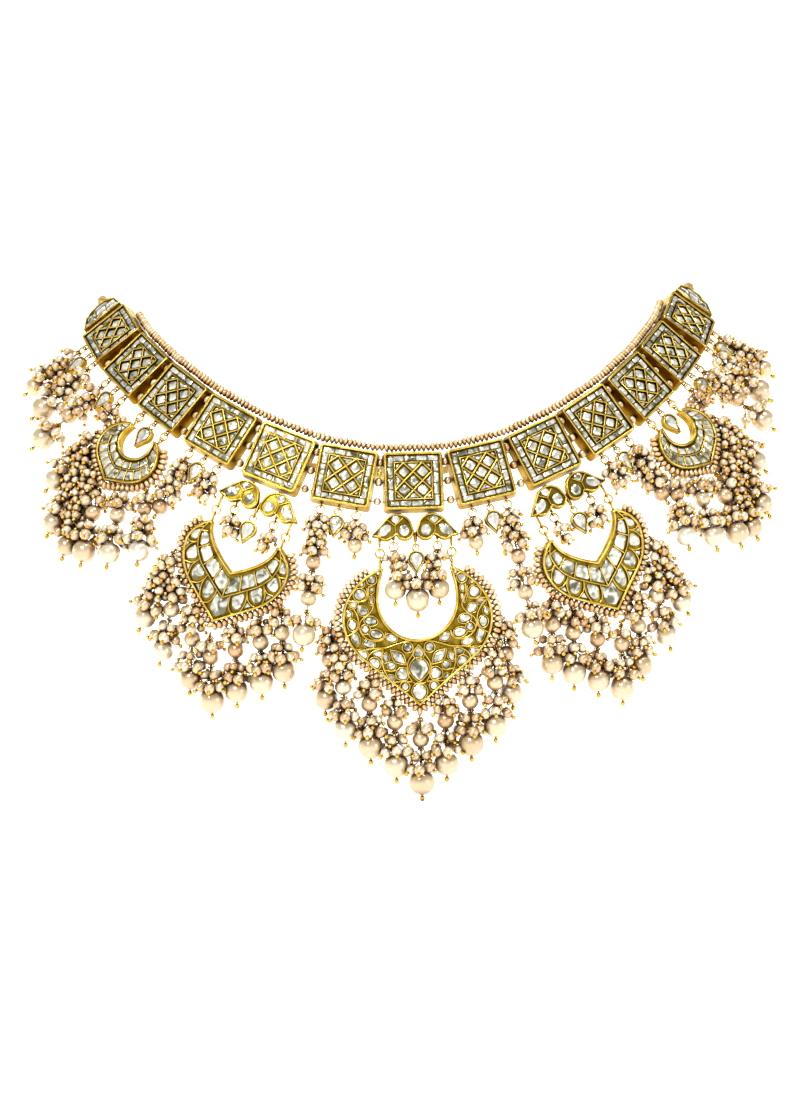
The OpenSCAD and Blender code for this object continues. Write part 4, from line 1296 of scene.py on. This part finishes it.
silkCord = {
    "diameter": 2.4,
    "plies": 3,
    "turnEvery": 7.0,
    "plyOut": 0.5,  # shares of the cord's radius
    "plyR": 0.64,
    "route": [(84.5, 14, 33.5), (84, 22, 30), (81.5, 32, 24), (77, 42, 17), (70.5, 51.5, 9.5)]
    + [(62, 60, 2.5), (51.5, 67, -4.5), (39.5, 72, -10.5), (27, 75, -15), (15, 76.5, -18)],
    "clasp": (0, 77, -19),
    "claspLength": 12.0,
    "claspWide": 6.0,
}


def makeCord(side, matrix):
    socket = endPiece["length"] - collar["width"] / 2 + endPiece["socket"]
    starts = [rowFrame(7) @ Vector((socket + x, 0, -endPiece["depth"] / 2)) for x in (sealGap, 2, 4)]
    last = Vector(silkCord["clasp"]) + Vector((silkCord["claspLength"] / 2 + sealGap, 0, 0))
    route = starts + [Vector(p) for p in silkCord["route"]] + [last + Vector((2, 0, 0)), last]
    route = smoothPath(route, 8)
    r = silkCord["diameter"] / 2
    bm = bmesh.new()
    wires = []
    for ply in range(silkCord["plies"]):
        points, gone = [], 0.0
        for i, p in enumerate(route):
            way = (route[min(i + 1, len(route) - 1)] - route[max(i - 1, 0)]).normalized()
            one = way.cross(Vector((0, 0, 1))).normalized()
            two = way.cross(one)
            if i:
                gone += (p - route[i - 1]).length
            a = 360 * (gone / silkCord["turnEvery"] + ply / silkCord["plies"])
            points.append(p + r * silkCord["plyOut"] * (cosD(a) * one + sinD(a) * two))
        wires.append((smoothPath(points, 2), r * silkCord["plyR"], False))
    addWires(bm, wires, 0, 3)
    piece = finishPiece(bm, "silkCord." + side, [silk], "cord_" + side, matrix)


def makeClasp():
    bm = bmesh.new()
    half, r = silkCord["claspLength"] / 2, silkCord["claspWide"] / 2
    # radius and place along of each turned step, from the end to the middle
    profile = [(0.0, 0.0), (r * 0.55, 0.0), (r * 0.7, 0.5), (r * 0.97, 1.4), (r, 2.2)]
    profile += [(r * 0.93, 2.5), (r * 0.93, 5.2), (r, 5.5), (r, 6.0)]
    verts = [bm.verts.new((-half + along, 0, radius)) for radius, along in profile]
    verts += [bm.verts.new((half - along, 0, radius)) for radius, along in profile[:-1][::-1]]
    edges = [bm.edges.new(pair) for pair in zip(verts, verts[1:])]
    bmesh.ops.spin(bm, geom=verts + edges, cent=(0, 0, 0), axis=(1, 0, 0), angle=2 * math.pi, steps=32, use_merge=True)
    bmesh.ops.remove_doubles(bm, verts=bm.verts, dist=0.001)
    bmesh.ops.recalc_face_normals(bm, faces=bm.faces)
    for face in bm.faces:
        face.smooth = True
    finishPiece(bm, "barrelClasp", [gold], "barrel_clasp", Matrix.Translation(silkCord["clasp"]))


for number in range(1, 14):
    makePlaque(number)
print("plaques ready")
pendants = [("large", "large", hingeFrame(0))]
for size, f in (("medium", hingeFrame(2)), ("small", lyingFrame(4))):
    pendants += [(size, size + "_right", f), (size, size + "_left", mirrorX @ f)]
for seed, (size, name, f) in enumerate(pendants, 21):
    makeCrescent(size, "crescent_" + name, f, seed)
for seed, (size, name, f) in enumerate(pendants, 31):
    makeRim(size, "rim_" + name, f, seed)
print("crescents ready")
for seed, (k, side, size, matrix) in enumerate(
    ((0, "centre", "large", identity), (2, "right", "medium", identity), (2, "left", "medium", mirrorX)), 41
):
    makePaisleyPair(k, "paisley_pair_" + side, hornX(crescents[size]), matrix, seed)
for number in range(1, 14):
    makeDrop(number)
makeTopString()
makeSpacers()
makeStrands()
print("strands ready")
sides = (("right", identity), ("left", mirrorX))
for seed, (side, matrix) in enumerate(sides, 51):
    makeEndPiece("terminal_" + side, matrix, seed)
for side, matrix in sides:
    makeCord(side, matrix)
makeClasp()
for slot in frame["nodes"]["jump_rings"].material_slots:
    slot.material = wireGold
print("end pieces and cords ready")

# ---- floor and light ----
studio = {
    "floorReach": 2.4,  # metres to each side and to the front
    "wallAt": 1.1,
    "sweep": 0.5,
    "wallTop": 0.8,
    "corner": 0.1,
    "glow": (0.2, 0.75),  # in front, and at the wall behind
    "horizon": 0.3,  # soft light from all round, and from above
    "zenith": 0.4,
    "aim": (0, -0.03, -0.03),
    # place in metres, size, watts
    "lights": [
        ("key", (-0.35, -0.95, 0.7), 0.4, 5.4),
        ("fill", (0.8, -0.7, 0.1), 0.4, 0.6),
        ("top", (0.25, -0.35, 1.0), 0.4, 3.0),
        ("back", (-0.2, 0.7, 0.7), 0.5, 2.2),
    ],
}


def makeFloor(look):
    # opal acrylic sheet, as jewellers photograph on: a floor that sweeps up all round and glows by itself as painted
    # light
    paint, tree, surface, place = newMaterial(
        "opalAcrylicSheet", Roughness=0.6, Base_Color=hexColour("#F7F6F3"), Emission_Color=hexColour("#FFFFFF")
    )
    depth = addNode(tree, "ShaderNodeSeparateXYZ", {"Vector": place}).outputs["Y"]
    # painted glow: the sheet gives off light although it is no lamp, faintly in front and strongly at the wall behind
    glow = mapRange(tree, depth, -0.2, look["wallAt"] - look["sweep"], *look["glow"])
    tree.links.new(glow, surface.inputs["Emission Strength"])
    low, reach, r, corner = cadBox[0][2] - 0.0005, look["floorReach"], look["sweep"], look["corner"]
    steps = [(r - r * sinD(a), r - r * cosD(a)) for a in range(0, 91, 6)] + [(0.0, look["wallTop"])]
    bm = bmesh.new()
    last = []
    for inset, z in steps:
        bend = r + corner - inset
        ring = []
        for x, y, turn in ((1, 1, 0), (-1, 1, 90), (-1, -1, 180), (1, -1, 270)):
            cx, cy = x * (reach - r - corner), (look["wallAt"] if y > 0 else -reach) - y * (r + corner)
            for a in range(0, 91, 15):
                ring.append(bm.verts.new((cx + bend * cosD(turn + a), cy + bend * sinD(turn + a), low + z)))
        for k in range(len(last)):
            bm.faces.new((last[k - 1], last[k], ring[k], ring[k - 1]))
        if not last:
            bm.faces.new(ring)
        last = ring
    bmesh.ops.recalc_face_normals(bm, faces=bm.faces)
    for face in bm.faces:
        face.smooth = True
    mesh = bpy.data.meshes.new("floor")
    bm.to_mesh(mesh)
    bm.free()
    mesh.materials.append(paint)
    linked("floor", mesh)


def makeLight(look):
    world = bpy.data.worlds.new("studio")
    world.use_nodes = True
    sky = world.node_tree
    way = addNode(sky, "ShaderNodeTexCoord").outputs["Generated"]
    height = addNode(sky, "ShaderNodeSeparateXYZ", {"Vector": way}).outputs["Z"]
    level = mapRange(sky, height, 0.0, 0.9, look["horizon"], look["zenith"])
    sky.links.new(level, sky.nodes["Background"].inputs["Strength"])
    sky.nodes["Background"].inputs["Color"].default_value = hexColour("#FBFAF7")
    bpy.context.scene.world = world
    for name, spot, size, power in look["lights"]:
        data = bpy.data.lights.new(name, "AREA")
        data.energy, data.size = power, size
        light = linked(name, data)
        light.location = spot
        light.rotation_euler = (Vector(look["aim"]) - Vector(spot)).to_track_quat("-Z", "Y").to_euler()


makeFloor(studio)
makeLight(studio)
bpy.context.scene.view_settings.view_transform = "Standard"
bpy.context.scene.view_settings.look = "High Contrast"
bpy.context.scene.view_settings.exposure = -0.3
bpy.context.view_layer.update()
